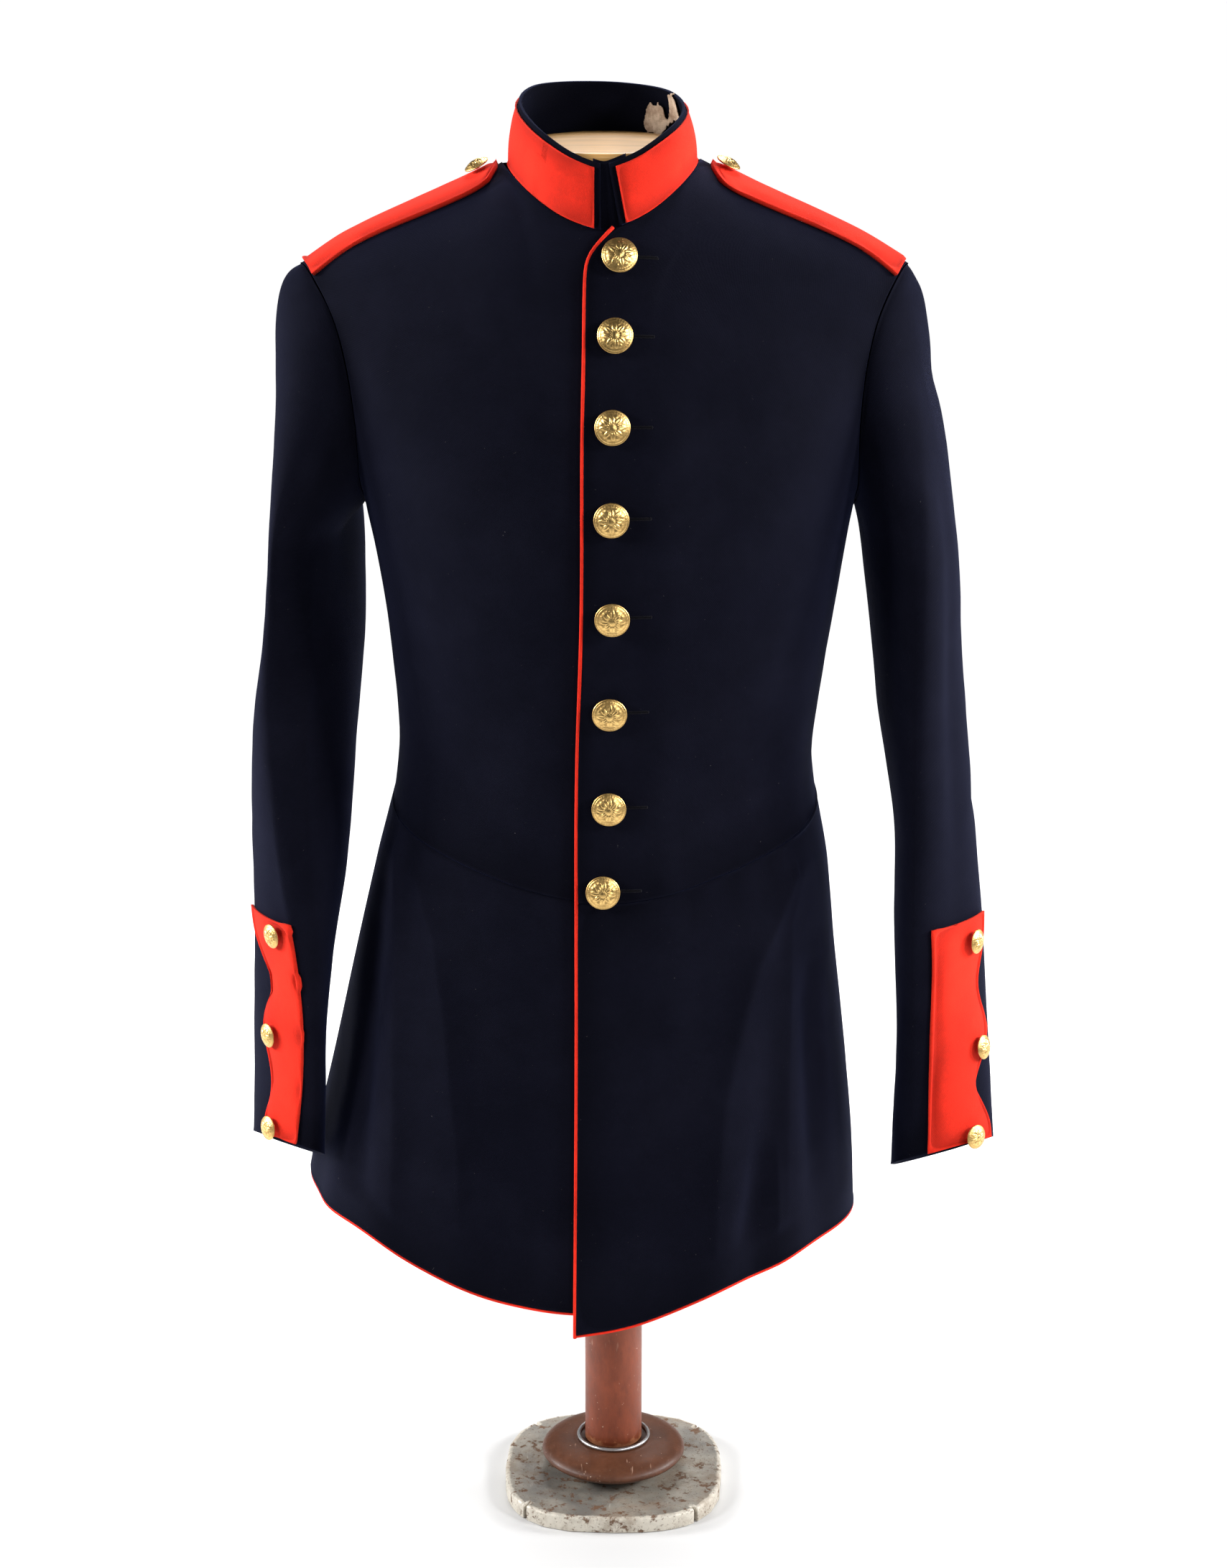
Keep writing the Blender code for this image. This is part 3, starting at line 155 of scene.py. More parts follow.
class StageSettings(bpy.types.PropertyGroup):
    """Floor and light."""
    floor: colour("Floor", "Colour of the floor", (0.80, 0.80, 0.80))
    glow: factor("Glow", "Light of the floor behind the object", 0.97, 5.0)
    sky: factor("Sky", "Strength of the light from all round", 0.05, 5.0)
    right: factor("Right lamp", "Power of the lamp on the wearer's right, in watts", 7.6, 500.0)
    left: factor("Left lamp", "Power of the lamp on the wearer's left, in watts", 7.8, 500.0)
    front: factor("Front lamp", "Power of the lamp before the front, in watts", 4.0, 500.0)
    back: factor("Back lamp", "Power of the lamp above the back, in watts", 12.0, 500.0)
    rims: factor("Rim lamps", "Power of each lamp beside the sleeves, in watts", 13.0, 500.0)


# ------------------------------------------------------------------------- shader helpers

class Value:
    """The output of a shader node, with the arithmetic that joins it to others."""

    def __init__(self, socket):
        self.socket = socket
        self.tree = socket.id_data

    def op(self, operation, other=0.0):
        return result(self.tree, "Math", {0: self, 1: other}, operation=operation)

    def __add__(self, other):
        return self.op("ADD", other)

    def __mul__(self, other):
        return self.op("MULTIPLY", other)

    def __sub__(self, other):
        return self.op("SUBTRACT", other)

    def __rsub__(self, other):
        return result(self.tree, "Math", {0: other, 1: self}, operation="SUBTRACT")


def add(tree, kind, inputs, **settings):
    """A node with its settings; an input is another node's output or a plain value."""
    made_node = tree.nodes.new("ShaderNode" + kind)
    for key, value in settings.items():
        setattr(made_node, key, value)
    for key, value in inputs.items():
        if isinstance(value, Value):
            tree.links.new(value.socket, made_node.inputs[key])
        else:
            made_node.inputs[key].default_value = value
    return made_node


def result(tree, kind, inputs, output=0, **settings):
    """One output of a new node."""
    return Value(add(tree, kind, inputs, **settings).outputs[output])


def remap(value, low, high, to_low=0.0, to_high=1.0):
    return result(value.tree, "MapRange", {"Value": value, "From Min": low, "From Max": high,
                                           "To Min": to_low, "To Max": to_high})


def blend(share, first, second, mode="MIX"):
    """Two colours mixed, or the first multiplied by the second."""
    tree = next(value.tree for value in (share, first, second) if isinstance(value, Value))
    colours = [value if isinstance(value, Value) else (*value, 1.0) for value in (first, second)]
    return result(tree, "Mix", {0: share, 6: colours[0], 7: colours[1]}, 2,
                  data_type="RGBA", blend_type=mode)


def over(base, mask, share, tint):
    """A share of another colour laid over the base where the mask is high."""
    return blend(mask * share, base, tint)


def shaded(base, shade):
    return blend(1.0, base, shade, "MULTIPLY")


def toned(tint, share):
    return tuple(c * share for c in tint)


def noise_at(vector, scale, detail=3.0, roughness=0.55, distortion=0.0):
    return result(vector.tree, "TexNoise", {"Vector": vector, "Scale": scale, "Detail": detail,
                                            "Roughness": roughness, "Distortion": distortion})


def scaled(vector, *scale):
    return result(vector.tree, "Mapping", {"Vector": vector, "Scale": scale})


def split(vector):
    """The x and the y of a vector."""
    parts = add(vector.tree, "SeparateXYZ", {0: vector}).outputs
    return Value(parts["X"]), Value(parts["Y"])


def effect(name, outputs, **defaults):
    """A shared effect: a shader node group, built at its first use and placed in each material.

    Its inputs are a vector and the named numbers, and its outputs are masks, shades and heights.
    """
    labels = ["Vector", *(key.title() for key in defaults)]

    def build(fill):
        tree = bpy.data.node_groups.new(name, "ShaderNodeTree")
        tree.interface.new_socket("Vector", in_out="INPUT", socket_type="NodeSocketVector")
        for label, default in zip(labels[1:], defaults.values()):
            socket = tree.interface.new_socket(label, in_out="INPUT", socket_type="NodeSocketFloat")
            socket.default_value = default
        for label in outputs:
            tree.interface.new_socket(label, in_out="OUTPUT", socket_type="NodeSocketFloat")
        entry = tree.nodes.new("NodeGroupInput")
        leave = tree.nodes.new("NodeGroupOutput")
        found = fill(*(Value(entry.outputs[label]) for label in labels))
        for label, value in zip(outputs, found):
            tree.links.new(value.socket, leave.inputs[label])
        return tree

    def wrap(fill):
        def placed(vector, *values):
            shared = bpy.data.node_groups.get(name) or build(fill)
            inputs = dict(zip(labels, (vector, *values)))
            holder = add(vector.tree, "Group", inputs, node_tree=shared)
            found = [Value(holder.outputs[label]) for label in outputs]
            return found if len(found) > 1 else found[0]
        return placed
    return wrap


@effect("Nap", ("Height", "Shade"))
def nap(vector):
    """Felted nap: fine fibres over a slow mottle."""
    fine = noise_at(vector, 1400.0, 4.0, 0.7)
    tufts = noise_at(vector, 420.0, 3.0, 0.6, 0.6)
    slow = noise_at(vector, 26.0)
    height = fine * 0.55 + tufts * 0.45
    shade = remap(slow, 0.3, 0.7, 0.86, 1.14) + remap(height, 0.3, 0.7, -0.16, 0.16)
    return height, shade


@effect("Twill", ("Height",), ribs=1100.0, slope=0.6)
def twill(vector, ribs, slope):
    """Fine diagonal ribs of a twill, faint under the nap."""
    x, y = split(vector)
    rib = (((x + y * slope) * ribs).op("FRACT") * math.pi).op("SINE")
    weft = ((y * ribs).op("FRACT") * math.pi).op("SINE")
    return (rib * 0.75 + weft * 0.25,)


@effect("Plain Weave", ("Height", "Shade"), threads=900.0)
def weave(vector, threads):
    """Plain weave: threads pass over and under by turns."""
    thick = noise_at(vector, 260.0, 2.0)
    warp, weft = (part * threads for part in split(vector))
    warp_rib, weft_rib = ((part * math.pi).op("SINE").op("ABSOLUTE") for part in (warp, weft))
    above = (warp.op("FLOOR") + weft.op("FLOOR")).op("PINGPONG", 1.0)
    height = warp_rib * above + weft_rib * (1.0 - above)
    height = height * remap(thick, 0.3, 0.7, 0.75, 1.2)
    return height, remap(height, 0.0, 1.0, 0.78, 1.1)


@effect("Patches", ("Mask",), scale=20.0, level=0.6, softness=0.05)
def patches(vector, scale, level, softness):
    """Irregular patches with soft or hard borders, for stains, rust and tarnish."""
    broad = noise_at(vector, scale, 6.0, 0.68)
    return (remap(broad, level - softness, level + softness),)


@effect("Edge Wear", ("Mask",), edge=0.0, amount=0.5)
def wear(vector, edge, amount):
    """Edge wear: the finish is rubbed through where the edge mask is high."""
    broken = edge + remap(noise_at(vector, 190.0, 5.0, 0.7), 0.3, 0.7, -0.45, 0.45)
    return (remap(broken, 1.0 - amount, 1.05),)


@effect("Wood Grain", ("Shade", "Height"))
def grain(vector):
    """Wood grain drawn out along one way, with pores."""
    bands = noise_at(vector, 24.0, 5.0, 0.6, 1.2)
    pores = noise_at(vector, 210.0, 4.0, 0.7)
    return remap(bands, 0.3, 0.7, 0.78, 1.16) + remap(pores, 0.3, 0.7, -0.10, 0.10), pores


@effect("Scratches", ("Mask",))
def scratches(vector):
    """Short thin scratches at many angles."""
    lines = None
    for turn, size in ((0.4, 60.0), (1.7, 90.0), (2.6, 45.0)):
        turned = result(vector.tree, "Mapping", {"Vector": vector, "Scale": (size * 7, size, size),
                                                 "Rotation": (turn, turn * 0.6, turn)})
        streak = remap(noise_at(turned, 1.0, 2.0, 0.5), 0.70, 0.76)
        lines = lines.op("MAXIMUM", streak) if lines else streak
    return (lines * remap(noise_at(vector, 30.0, 2.0), 0.45, 0.62),)


def new_material(name):
    """An empty material: its shader, the object's own coordinates and the cloth's."""
    material = bpy.data.materials.new(name)
    material.use_nodes = True
    tree = material.node_tree
    coords = tree.nodes.new("ShaderNodeTexCoord").outputs
    return material, tree.nodes["Principled BSDF"], Value(coords["Object"]), Value(coords["UV"])


def stored(vector, name):
    """A mask that the mesh stores by this name."""
    return result(vector.tree, "Attribute", {}, "Fac", attribute_name=name)


def finish_with(shader, base, rough, height=None, depth=0.2 * MM, **sockets):
    """Join colour, roughness and relief to the shader, and set its plain values."""
    tree = base.tree
    tree.links.new(base.socket, shader.inputs["Base Color"])
    if isinstance(rough, Value):
        tree.links.new(rough.socket, shader.inputs["Roughness"])
    else:
        shader.inputs["Roughness"].default_value = rough
    if height is not None:
        bump = result(tree, "Bump", {"Height": height, "Strength": 1.0, "Distance": depth})
        tree.links.new(bump.socket, shader.inputs["Normal"])
    for key, value in sockets.items():
        shader.inputs[key.replace("_", " ")].default_value = value


# ------------------------------------------------------------------------------ materials

def wool_material(name, tint, sheen, sheen_tint, specular, lint):
    """Milled wool: twill under a felted nap, darkened in its seams by some dirt and by painted
    shade, with a soft sheen.
    """
    material, shader, spot, cloth = new_material(name)
    height, shade = nap(spot)
    ribs = twill(cloth, 900.0)
    paler = tuple(min(c * 1.25 + 0.0006, 1.0) for c in tint)
    base = shaded(blend(patches(spot, 9.0, 0.56, 0.12), tint, paler), shade)
    # The seams are darkened: partly dirt, partly painted shade where the cut edges meet.
    base = over(base, stored(spot, "seam"), 0.55, toned(tint, 0.35))
    base = over(base, remap(stored(spot, "side"), 0.0, -1.0), 0.6, toned(tint, 0.3))
    if lint:
        specks = remap(noise_at(spot, 520.0, 2.0, 0.5), 0.76, 0.82)
        base = over(base, specks, lint, (0.16, 0.15, 0.15))
    rough = remap(height, 0.3, 0.7, 0.82, 0.96)
    finish_with(shader, base, rough, height * 0.7 + ribs * 0.3, bpy.context.scene.tunic_cloth.nap,
                Sheen_Weight=sheen, Sheen_Roughness=0.45, Sheen_Tint=(*sheen_tint, 1.0),
                Specular_IOR_Level=specular)
    return material


def navy_wool():
    tint = bpy.context.scene.tunic_cloth.wool
    return wool_material("navy_wool", tint, 0.075, (0.24, 0.30, 0.80), 0.03, lint=0.35)


def red_wool():
    tint = bpy.context.scene.tunic_cloth.facing
    return wool_material("red_wool", tint, 0.06, (1.0, 0.35, 0.28), 0.12, lint=0.0)


def fibre_material(name, scale, detail, dark, pale, rough, specular):
    """Dark fibres: the buttonholes' thread, and a painted shadow laid over their slits."""
    material, shader, spot, _ = new_material(name)
    fibres = noise_at(spot, scale, detail)
    finish_with(shader, blend(fibres, dark, pale), rough, fibres, 0.05 * MM,
                Specular_IOR_Level=specular)
    return material


def lining_material():
    """Torn cotton: cream with brown soiling, and bare brown padding near its edges."""
    material, shader, spot, cloth = new_material("torn_lining")
    height, shade = weave(cloth, 1300.0)
    base = over(bpy.context.scene.tunic_cloth.lining, patches(spot, 110.0, 0.56, 0.12), 0.8,
                (0.25, 0.125, 0.062))
    base = shaded(over(base, stored(spot, "seam"), 0.55, (0.16, 0.075, 0.035)), shade)
    finish_with(shader, base, 0.9, height, 0.12 * MM, Sheen_Weight=0.15)
    return material


def gilt_material():
    """Gilt brass: bright on the raised work, tarnished in the hollows."""
    settings = bpy.context.scene.tunic_buttons
    material, shader, spot, _ = new_material("gilt_brass")
    dull = patches(spot, 240.0, 0.55, 0.14)
    rubbed = noise_at(spot, 900.0)
    dark = (1.0 - stored(spot, "raised")) * remap(dull, 0.0, 1.0, 0.35, 0.8)
    base = over(blend(dark, settings.gilt, settings.tarnish), dull, 0.25, (0.42, 0.24, 0.07))
    rough = remap(rubbed, 0.3, 0.7, 0.24, 0.38) + dark * 0.25
    finish_with(shader, base, rough, rubbed, 0.03 * MM, Metallic=1.0)
    return material


def linen_material():
    """The form's linen, with broad pale stains."""
    material, shader, spot, cloth = new_material("form_linen")
    height, shade = weave(cloth, 1000.0)
    base = over(bpy.context.scene.tunic_stand.cover, patches(spot, 9.0, 0.58, 0.12), 0.35,
                (0.33, 0.25, 0.16))
    finish_with(shader, shaded(base, shade), 0.92, height, 0.2 * MM, Specular_IOR_Level=0.25)
    return material


def cap_material():
    """Pale waxed wood with fine grain and small knocks."""
    material, shader, spot, _ = new_material("pale_wood")
    shade, pores = grain(scaled(spot, 0.25, 3.2, 3.2))
    base = shaded(bpy.context.scene.tunic_stand.cap, shade)
    base = over(base, scratches(spot), 0.35, (0.45, 0.28, 0.13))
    base = over(base, wear(spot, stored(spot, "edge"), 0.5), 0.45, (0.55, 0.36, 0.17))
    finish_with(shader, base, remap(pores, 0.3, 0.7, 0.34, 0.5), pores, 0.08 * MM,
                Coat_Weight=0.2, Coat_Roughness=0.3)
    return material


def stained_wood_material(name, tint, along):
    """Reddish stained wood: streaks along the grain, pale scratches, rubbed edges."""
    material, shader, spot, _ = new_material(name)
    drawn = scaled(spot, *along)
    shade, pores = grain(drawn)
    specks = remap(noise_at(spot, 330.0, 2.0, 0.5), 0.71, 0.76)
    base = over(shaded(tint, shade), patches(drawn, 22.0, 0.56, 0.1), 0.55, toned(tint, 0.45))
    base = over(base, scratches(spot), 0.5, (0.48, 0.30, 0.22))
    base = over(base, specks, 0.5, (0.55, 0.42, 0.34))
    base = over(base, wear(spot, stored(spot, "edge"), 0.45), 0.6, (0.42, 0.19, 0.09))
    finish_with(shader, base, remap(pores, 0.3, 0.7, 0.36, 0.56), pores, 0.1 * MM,
                Coat_Weight=0.05, Coat_Roughness=0.35, Specular_IOR_Level=0.3)
    return material


def steel_material():
    """Dull steel with brown stains."""
    material, shader, spot, _ = new_material("dull_steel")
    stain = patches(spot, 90.0, 0.58, 0.08)
    base = blend(stain * 0.7, (0.50, 0.50, 0.51), (0.14, 0.085, 0.05))
    rough = remap(stain, 0.0, 1.0, 0.28, 0.6) + scratches(spot) * 0.1
    finish_with(shader, base, rough, stain, 0.05 * MM, Metallic=0.9)
    return material


def paint_material():
    """Worn grey base: thin paint over cream primer, paler on its upright sides, with rust spots and
    brown bloom.
    """
    settings = bpy.context.scene.tunic_stand
    material, shader, spot, _ = new_material("worn_paint")
    cloud = patches(spot, 26.0, 0.52, 0.14)
    bloom = patches(scaled(spot, 1.0, 1.3, 1.0), 34.0, 0.60, 0.10)
    spots = patches(spot, 130.0, 0.585, 0.035)
    flecks = patches(spot, 420.0, 0.61, 0.04)
    base = blend(cloud, settings.paint, (0.30, 0.275, 0.23))
    # The upright sides are made paler than the top.
    base = over(base, stored(spot, "side"), 0.8, (0.62, 0.58, 0.50))
    base = over(base, scratches(spot), 0.5, (0.55, 0.53, 0.49))
    base = over(base, wear(spot, stored(spot, "edge"), 0.7), 0.75, (0.66, 0.61, 0.52))
    base = over(base, bloom, 0.6, (0.20, 0.135, 0.085))
    rusty = spots.op("MAXIMUM", flecks * 0.7)
    base = over(base, rusty, 0.9, settings.rust)
    rough = remap(rusty.op("MAXIMUM", bloom), 0.0, 1.0, 0.42, 0.85)
    finish_with(shader, base, rough, cloud - rusty * 1.5, 0.12 * MM, Metallic=0.15)
    return material


# ------------------------------------------------------------------------------- meshes

def made(name, mesh, material, slot, *nodes):
    """Put a finished mesh on the object, in place of the frame's nodes."""
    piece = bpy.data.objects.new(name, mesh)
    bpy.context.scene.collection.objects.link(piece)
    if not mesh.materials:
        mesh.materials.append(material)
    mesh.shade_smooth()
    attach(piece, "root")
    if nodes:
        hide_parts(*nodes)
    return piece


def made_sheet(name, mesh, material, slot, rests_on, *nodes):
    """Put a sheet of cloth on the object."""
    piece = made(f"fine_{name}", mesh, material, slot, *(nodes or [name]))


def plain_copy(node):
    """A frame node's surface alone, welded."""
    data = frame["nodes"][node].data
    bm = bmesh.new()
    verts = [bm.verts.new(v.co) for v in data.vertices]
    for polygon in data.polygons:
        bm.faces.new([verts[i] for i in polygon.vertices])
    bmesh.ops.remove_doubles(bm, verts=bm.verts, dist=WELD)
    return bm


def grid_copy(node):
    """A frame node's surface with its triangles joined back to a grid of quads."""
    best, fewest = None, math.inf
    for influence in (1.0, 1.5, 2.0):
        bm = plain_copy(node)
        bmesh.ops.join_triangles(bm, faces=bm.faces, angle_face_threshold=math.pi,
                                 angle_shape_threshold=math.pi, topology_influence=influence)
        spare = sum(len(face.verts) == 3 for face in bm.faces)
        if spare < fewest:
            best, fewest = bm, spare
    best.normal_update()
    return best


def mesh_from(bm, name):
    """A new mesh with what a bmesh holds; the bmesh is freed."""
    mesh = bpy.data.meshes.new(name)
    bm.to_mesh(mesh)
    bm.free()
    return mesh


def skin(bm, rows, closed=True, material=0, turned=False):
    """Quads between rows of vertices; a closed row joins its end to its start.

    They face outward when the rows climb and run anticlockwise; turned ones face the other way.
    """
    for low, high in zip(rows, rows[1:]):
        for k in range(len(low) if closed else len(low) - 1):
            m = (k + 1) % len(low)
            sides = (high[k], low[m]) if turned else (low[m], high[k])
            bm.faces.new((low[k], sides[0], high[m], sides[1])).material_index = material


def tube(bm, rings, turned=False):
    """A closed body through rings of vertices, with one face on each end."""
    skin(bm, rings, turned=turned)
    way = 1 if turned else -1
    bm.faces.new(rings[0][::way])
    bm.faces.new(rings[-1][::-way])


def refined(bm, name, levels, bevel=0.0, bevel_steps=3):
    """The mesh after an optional bevel and a subdivision surface, both applied."""
    mesh = mesh_from(bm, name)
    holder = bpy.data.objects.new(name + "_work", mesh)
    bpy.context.scene.collection.objects.link(holder)
    if bevel:
        cut = holder.modifiers.new("bevel", "BEVEL")
        cut.width, cut.segments, cut.limit_method = bevel, bevel_steps, "ANGLE"
        cut.angle_limit = math.radians(35)
    if levels:
        smooth = holder.modifiers.new("smooth", "SUBSURF")
        smooth.levels = smooth.render_levels = levels
    solved = holder.evaluated_get(bpy.context.evaluated_depsgraph_get())
    ready = bpy.data.meshes.new_from_object(solved)
    bpy.data.objects.remove(holder)
    bpy.data.meshes.remove(mesh)
    ready.name = name
    return ready


def read(items, key, width=1):
    found = np.empty(len(items) * width)
    items.foreach_get(key, found)
    return found.reshape(-1, width) if width > 1 else found


def points_of(mesh):
    return read(mesh.vertices, "co", 3)


def normals_of(mesh):
    return read(mesh.vertex_normals, "vector", 3)


def set_points(mesh, points):
    mesh.vertices.foreach_set("co", np.asarray(points).ravel())
    mesh.update()


def values_of(mesh, name):
    return read(mesh.attributes[name].data, "value")


def set_values(mesh, name, values):
    layer = mesh.attributes.get(name) or mesh.attributes.new(name, "FLOAT", "POINT")
    layer.data.foreach_set("value", np.asarray(values, dtype=np.float32))


def set_uv(mesh, across, up):
    """Lay the cloth's own coordinates, in metres, on the mesh."""
    while mesh.uv_layers:
        mesh.uv_layers.remove(mesh.uv_layers[0])
    layer = mesh.uv_layers.new(name="cloth")
    index = np.empty(len(mesh.loops), dtype=np.int32)
    mesh.loops.foreach_get("vertex_index", index)
    layer.data.foreach_set("uv", np.stack([across[index], up[index]], axis=1).ravel())


def eased(values, start, end):
    share = np.clip((values - start) / (end - start), 0.0, 1.0)
    return share * share * (3 - 2 * share)


def centre_line(nodes):
    """Middle of some nodes by height, as a function that gives x and y."""
    points = np.concatenate([points_of(frame["nodes"][node].data) for node in nodes])
    rows = []
    for height in np.arange(points[:, 2].min(), points[:, 2].max() + SLICE, SLICE):
        near = points[np.abs(points[:, 2] - height) < 1.5 * SLICE, :2]
        if len(near) > 8:
            rows.append((height, *((near.max(axis=0) + near.min(axis=0)) / 2)))
    rows = np.array(rows)
    return lambda z: np.stack([np.interp(z, rows[:, 0], rows[:, k]) for k in (1, 2)], axis=1)


def lay_round(mesh, line, radius):
    """Cloth coordinates that run round a middle line and up along the slope."""
    points = points_of(mesh)
    away = points[:, :2] - line(points[:, 2])
    mean = away.mean(axis=0)
    turn = np.arctan2(away[:, 0] * mean[1] - away[:, 1] * mean[0], away @ mean)
    reach = np.linalg.norm(away, axis=1)
    set_uv(mesh, turn * radius, points[:, 2] - reach)


def tree_over(meshes):
    """One search tree over several meshes."""
    verts, faces = [], []
    for mesh in meshes:
        start = len(verts)
        verts += [v.co.copy() for v in mesh.vertices]
        faces += [[start + i for i in polygon.vertices] for polygon in mesh.polygons]
    return BVHTree.FromPolygons(verts, faces)


def tree_of(nodes):
    return tree_over([frame["nodes"][node].data for node in nodes])


# --------------------------------------------------------------------------- cloth walls

def wall_sides(bm):
    """Sort a wall's faces into its outer side, its inner side and its rim."""
    wall = 2 * bm.calc_volume() / sum(face.calc_area() for face in bm.faces)
    rim = set()
    for face in bm.faces:
        edges = sorted(face.edges, key=lambda edge: edge.calc_length())
        bends = [edge.calc_face_angle() for edge in edges[-2:]]
        if edges[0].calc_length() < RIM_WIDTH * wall and min(bends) > RIM_BEND:
            rim.add(face)
    rest = set(bm.faces) - rim
    groups = []
    while rest:
        front = [rest.pop()]
        found = set(front)
        while front:
            for edge in front.pop().edges:
                for near in edge.link_faces:
                    if near in rest:
                        rest.discard(near)
                        found.add(near)
                        front.append(near)
        groups.append(found)
    groups.sort(key=lambda faces: -sum(face.calc_area() for face in faces))
    if len(groups) != 2:
        raise RuntimeError(f"a wall came apart in {len(groups)} sides")
    return groups[0], groups[1], rim


def verts_of(faces):
    return {vert for face in faces for vert in face.verts}


def nearest(vert, others):
    return min(others, key=lambda other: (other.co - vert.co).length)


def sewn_copy(nodes):
    """Two frame walls as one, their shared seams closed."""
    whole = bmesh.new()
    for number, (node, other) in enumerate(zip(nodes, nodes[::-1])):
        bm = grid_copy(node)
        _, inner, rim = wall_sides(bm)
        part = bm.verts.layers.int.new("part")
        inside = bm.verts.layers.int.new("inside")
        inner_verts = verts_of(inner)
        for vert in bm.verts:
            vert[part], vert[inside] = number, int(vert in inner_verts)
        beside = tree_of([other])
        closed = []
        for face in rim:
            middle = face.calc_center_median()
            spot = beside.find_nearest(middle, SEAM_REACH)[0]
            if spot and (spot - middle).normalized().dot(face.normal) > 0.5:
                closed.append(face)
        bmesh.ops.delete(bm, geom=closed, context="FACES")
        mesh = mesh_from(bm, "part")
        whole.from_mesh(mesh)
        bpy.data.meshes.remove(mesh)
    part, inside = (whole.verts.layers.int[name] for name in ("part", "inside"))
    ends = [vert for vert in whole.verts if vert.is_boundary]
    joins = {}
    for vert in ends:
        if vert[part] == 0:
            joins[vert] = nearest(vert, [other for other in ends if other[part] == 1
                                         and other[inside] == vert[inside]])
    for vert, twin in joins.items():
        twin.co = (twin.co + vert.co) / 2
    bmesh.ops.weld_verts(whole, targetmap=joins)
    for name in ("part", "inside"):
        whole.verts.layers.int.remove(whole.verts.layers.int[name])
    whole.normal_update()
    return whole


def fine_wall(nodes, sewn_to=(), levels=2, inset=2.2 * MM, tuck=0.0, groove=None):
    """A frame wall as a fine sheet: seams drawn together, edges pressed, rim kept crisp."""
    bm = grid_copy(nodes) if isinstance(nodes, str) else sewn_copy(nodes)
    outer, inner, rim = wall_sides(bm)
    if groove is None:
        groove = bpy.context.scene.tunic_cloth.groove
    seam = bm.verts.layers.float.new("seam")
    side = bm.verts.layers.float.new("side")
    crease = bm.edges.layers.float.new("crease_edge")
    inner_verts, rim_verts = verts_of(inner), verts_of(rim)
    outer_rim = verts_of(outer) & rim_verts
    for vert in bm.verts:
        vert[side] = -1.0 if vert in inner_verts else 1.0
        vert[seam] = 1.0 if vert in rim_verts else 0.0
    partner = {}
    for vert in outer_rim:
        around = [edge.other_vert(vert) for edge in vert.link_edges]
        partner[vert] = nearest(vert, [other for other in around if other in inner_verts])
    for vert, other in partner.items():
        edges = [edge for edge in vert.link_edges if edge.other_vert(vert) in outer_rim
                 and any(face in rim for face in edge.link_faces)]
        ways = [(edge.other_vert(vert).co - vert.co).normalized() for edge in edges[:2]]
        if len(ways) == 2 and ways[0].angle(ways[1]) < CORNER_BEND:
            bm.edges.get((vert, other))[crease] = 1.0
    for face in rim:
        for edge in face.edges:
            if any(near in outer or near in inner for near in edge.link_faces):
                edge[crease] = 1.0
    moves = {}
    if sewn_to:
        tree = tree_of(sewn_to)
        for vert in rim_verts:
            spot = tree.find_nearest(vert.co, SEAM_REACH)[0]
            if spot:
                moves[vert] = (spot - vert.co) * SEAM_SHARE
    for vert, other in partner.items():
        down = (other.co - vert.co).normalized()
        moves[vert] = moves.get(vert, Vector()) + down * (groove + tuck)
        moves[other] = moves.get(other, Vector()) + down * tuck
    bmesh.ops.inset_region(bm, faces=list(outer), thickness=inset, use_even_offset=True,
                           use_boundary=True)
    for vert in bm.verts:
        if vert[seam] > 0.5 and vert not in rim_verts:
            vert[seam] = 0.0
    for vert, move in moves.items():
        vert.co += move
    return refined(bm, "wall", levels)


def beside_path(points, path):
    """For each point, how far along a path it lies, from 0 to 1, and its distance from it."""
    steps = np.linalg.norm(np.diff(path, axis=0), axis=1)
    best, along, passed = np.full(len(points), np.inf), np.zeros(len(points)), 0.0
    for start, end, step in zip(path, path[1:], steps):
        share = np.clip(((points - start) @ (end - start)) / step ** 2, 0.0, 1.0)
        distance = np.linalg.norm(points - start - share[:, None] * (end - start), axis=1)
        nearer = distance < best
        best = np.where(nearer, distance, best)
        along = np.where(nearer, (passed + share * step) / steps.sum(), along)
        passed += step
    return along, best


def noise_over(points, size, shift=(0.0, 0.0, 0.0)):
    """Slow noise at each point; size is the distance from one swell to the next."""
    return np.array([noise.noise(Vector(point) / size + Vector(shift)) for point in points])


def wrinkle(mesh, folds, ripple=0.5 * MM, size=0.055, fade=0.014, seed=0.0):
    """Press soft folds and a slow ripple into a sheet; both die out at its seams."""
    points, normals = points_of(mesh), normals_of(mesh)
    seam, side = values_of(mesh, "seam"), values_of(mesh, "side")
    rim = np.nonzero(seam > 0.6)[0]
    tree = KDTree(len(rim))
    for index in rim:
        tree.insert(points[index], int(index))
    tree.balance()
    away = np.array([tree.find(point)[2] for point in points])
    lift = np.zeros(len(points))
    for path, width, height, sharp in folds:
        along, distance = beside_path(points, np.array(path) * MM)
        taper = np.sin(np.pi * np.clip(along, 0.04, 0.96)) ** 0.5
        distance = distance / (width * MM)
        crest = np.sqrt(distance ** 2 + 0.02) - 0.14 if sharp else distance ** 2
        lift += height * MM * taper * np.exp(-crest)
    slow = noise_over(points, size, (seed, seed * 2, 5.0))
    fine = noise_over(points, size * 0.38, (9.0, seed, seed))
    strength = bpy.context.scene.tunic_cloth.wrinkles
    lift = (lift + ripple * (slow + 0.35 * fine)) * eased(away, 0.0, fade) * strength
    set_points(mesh, points + normals * (lift * np.sign(side))[:, None])


# --------------------------------------------------------------------------------- body

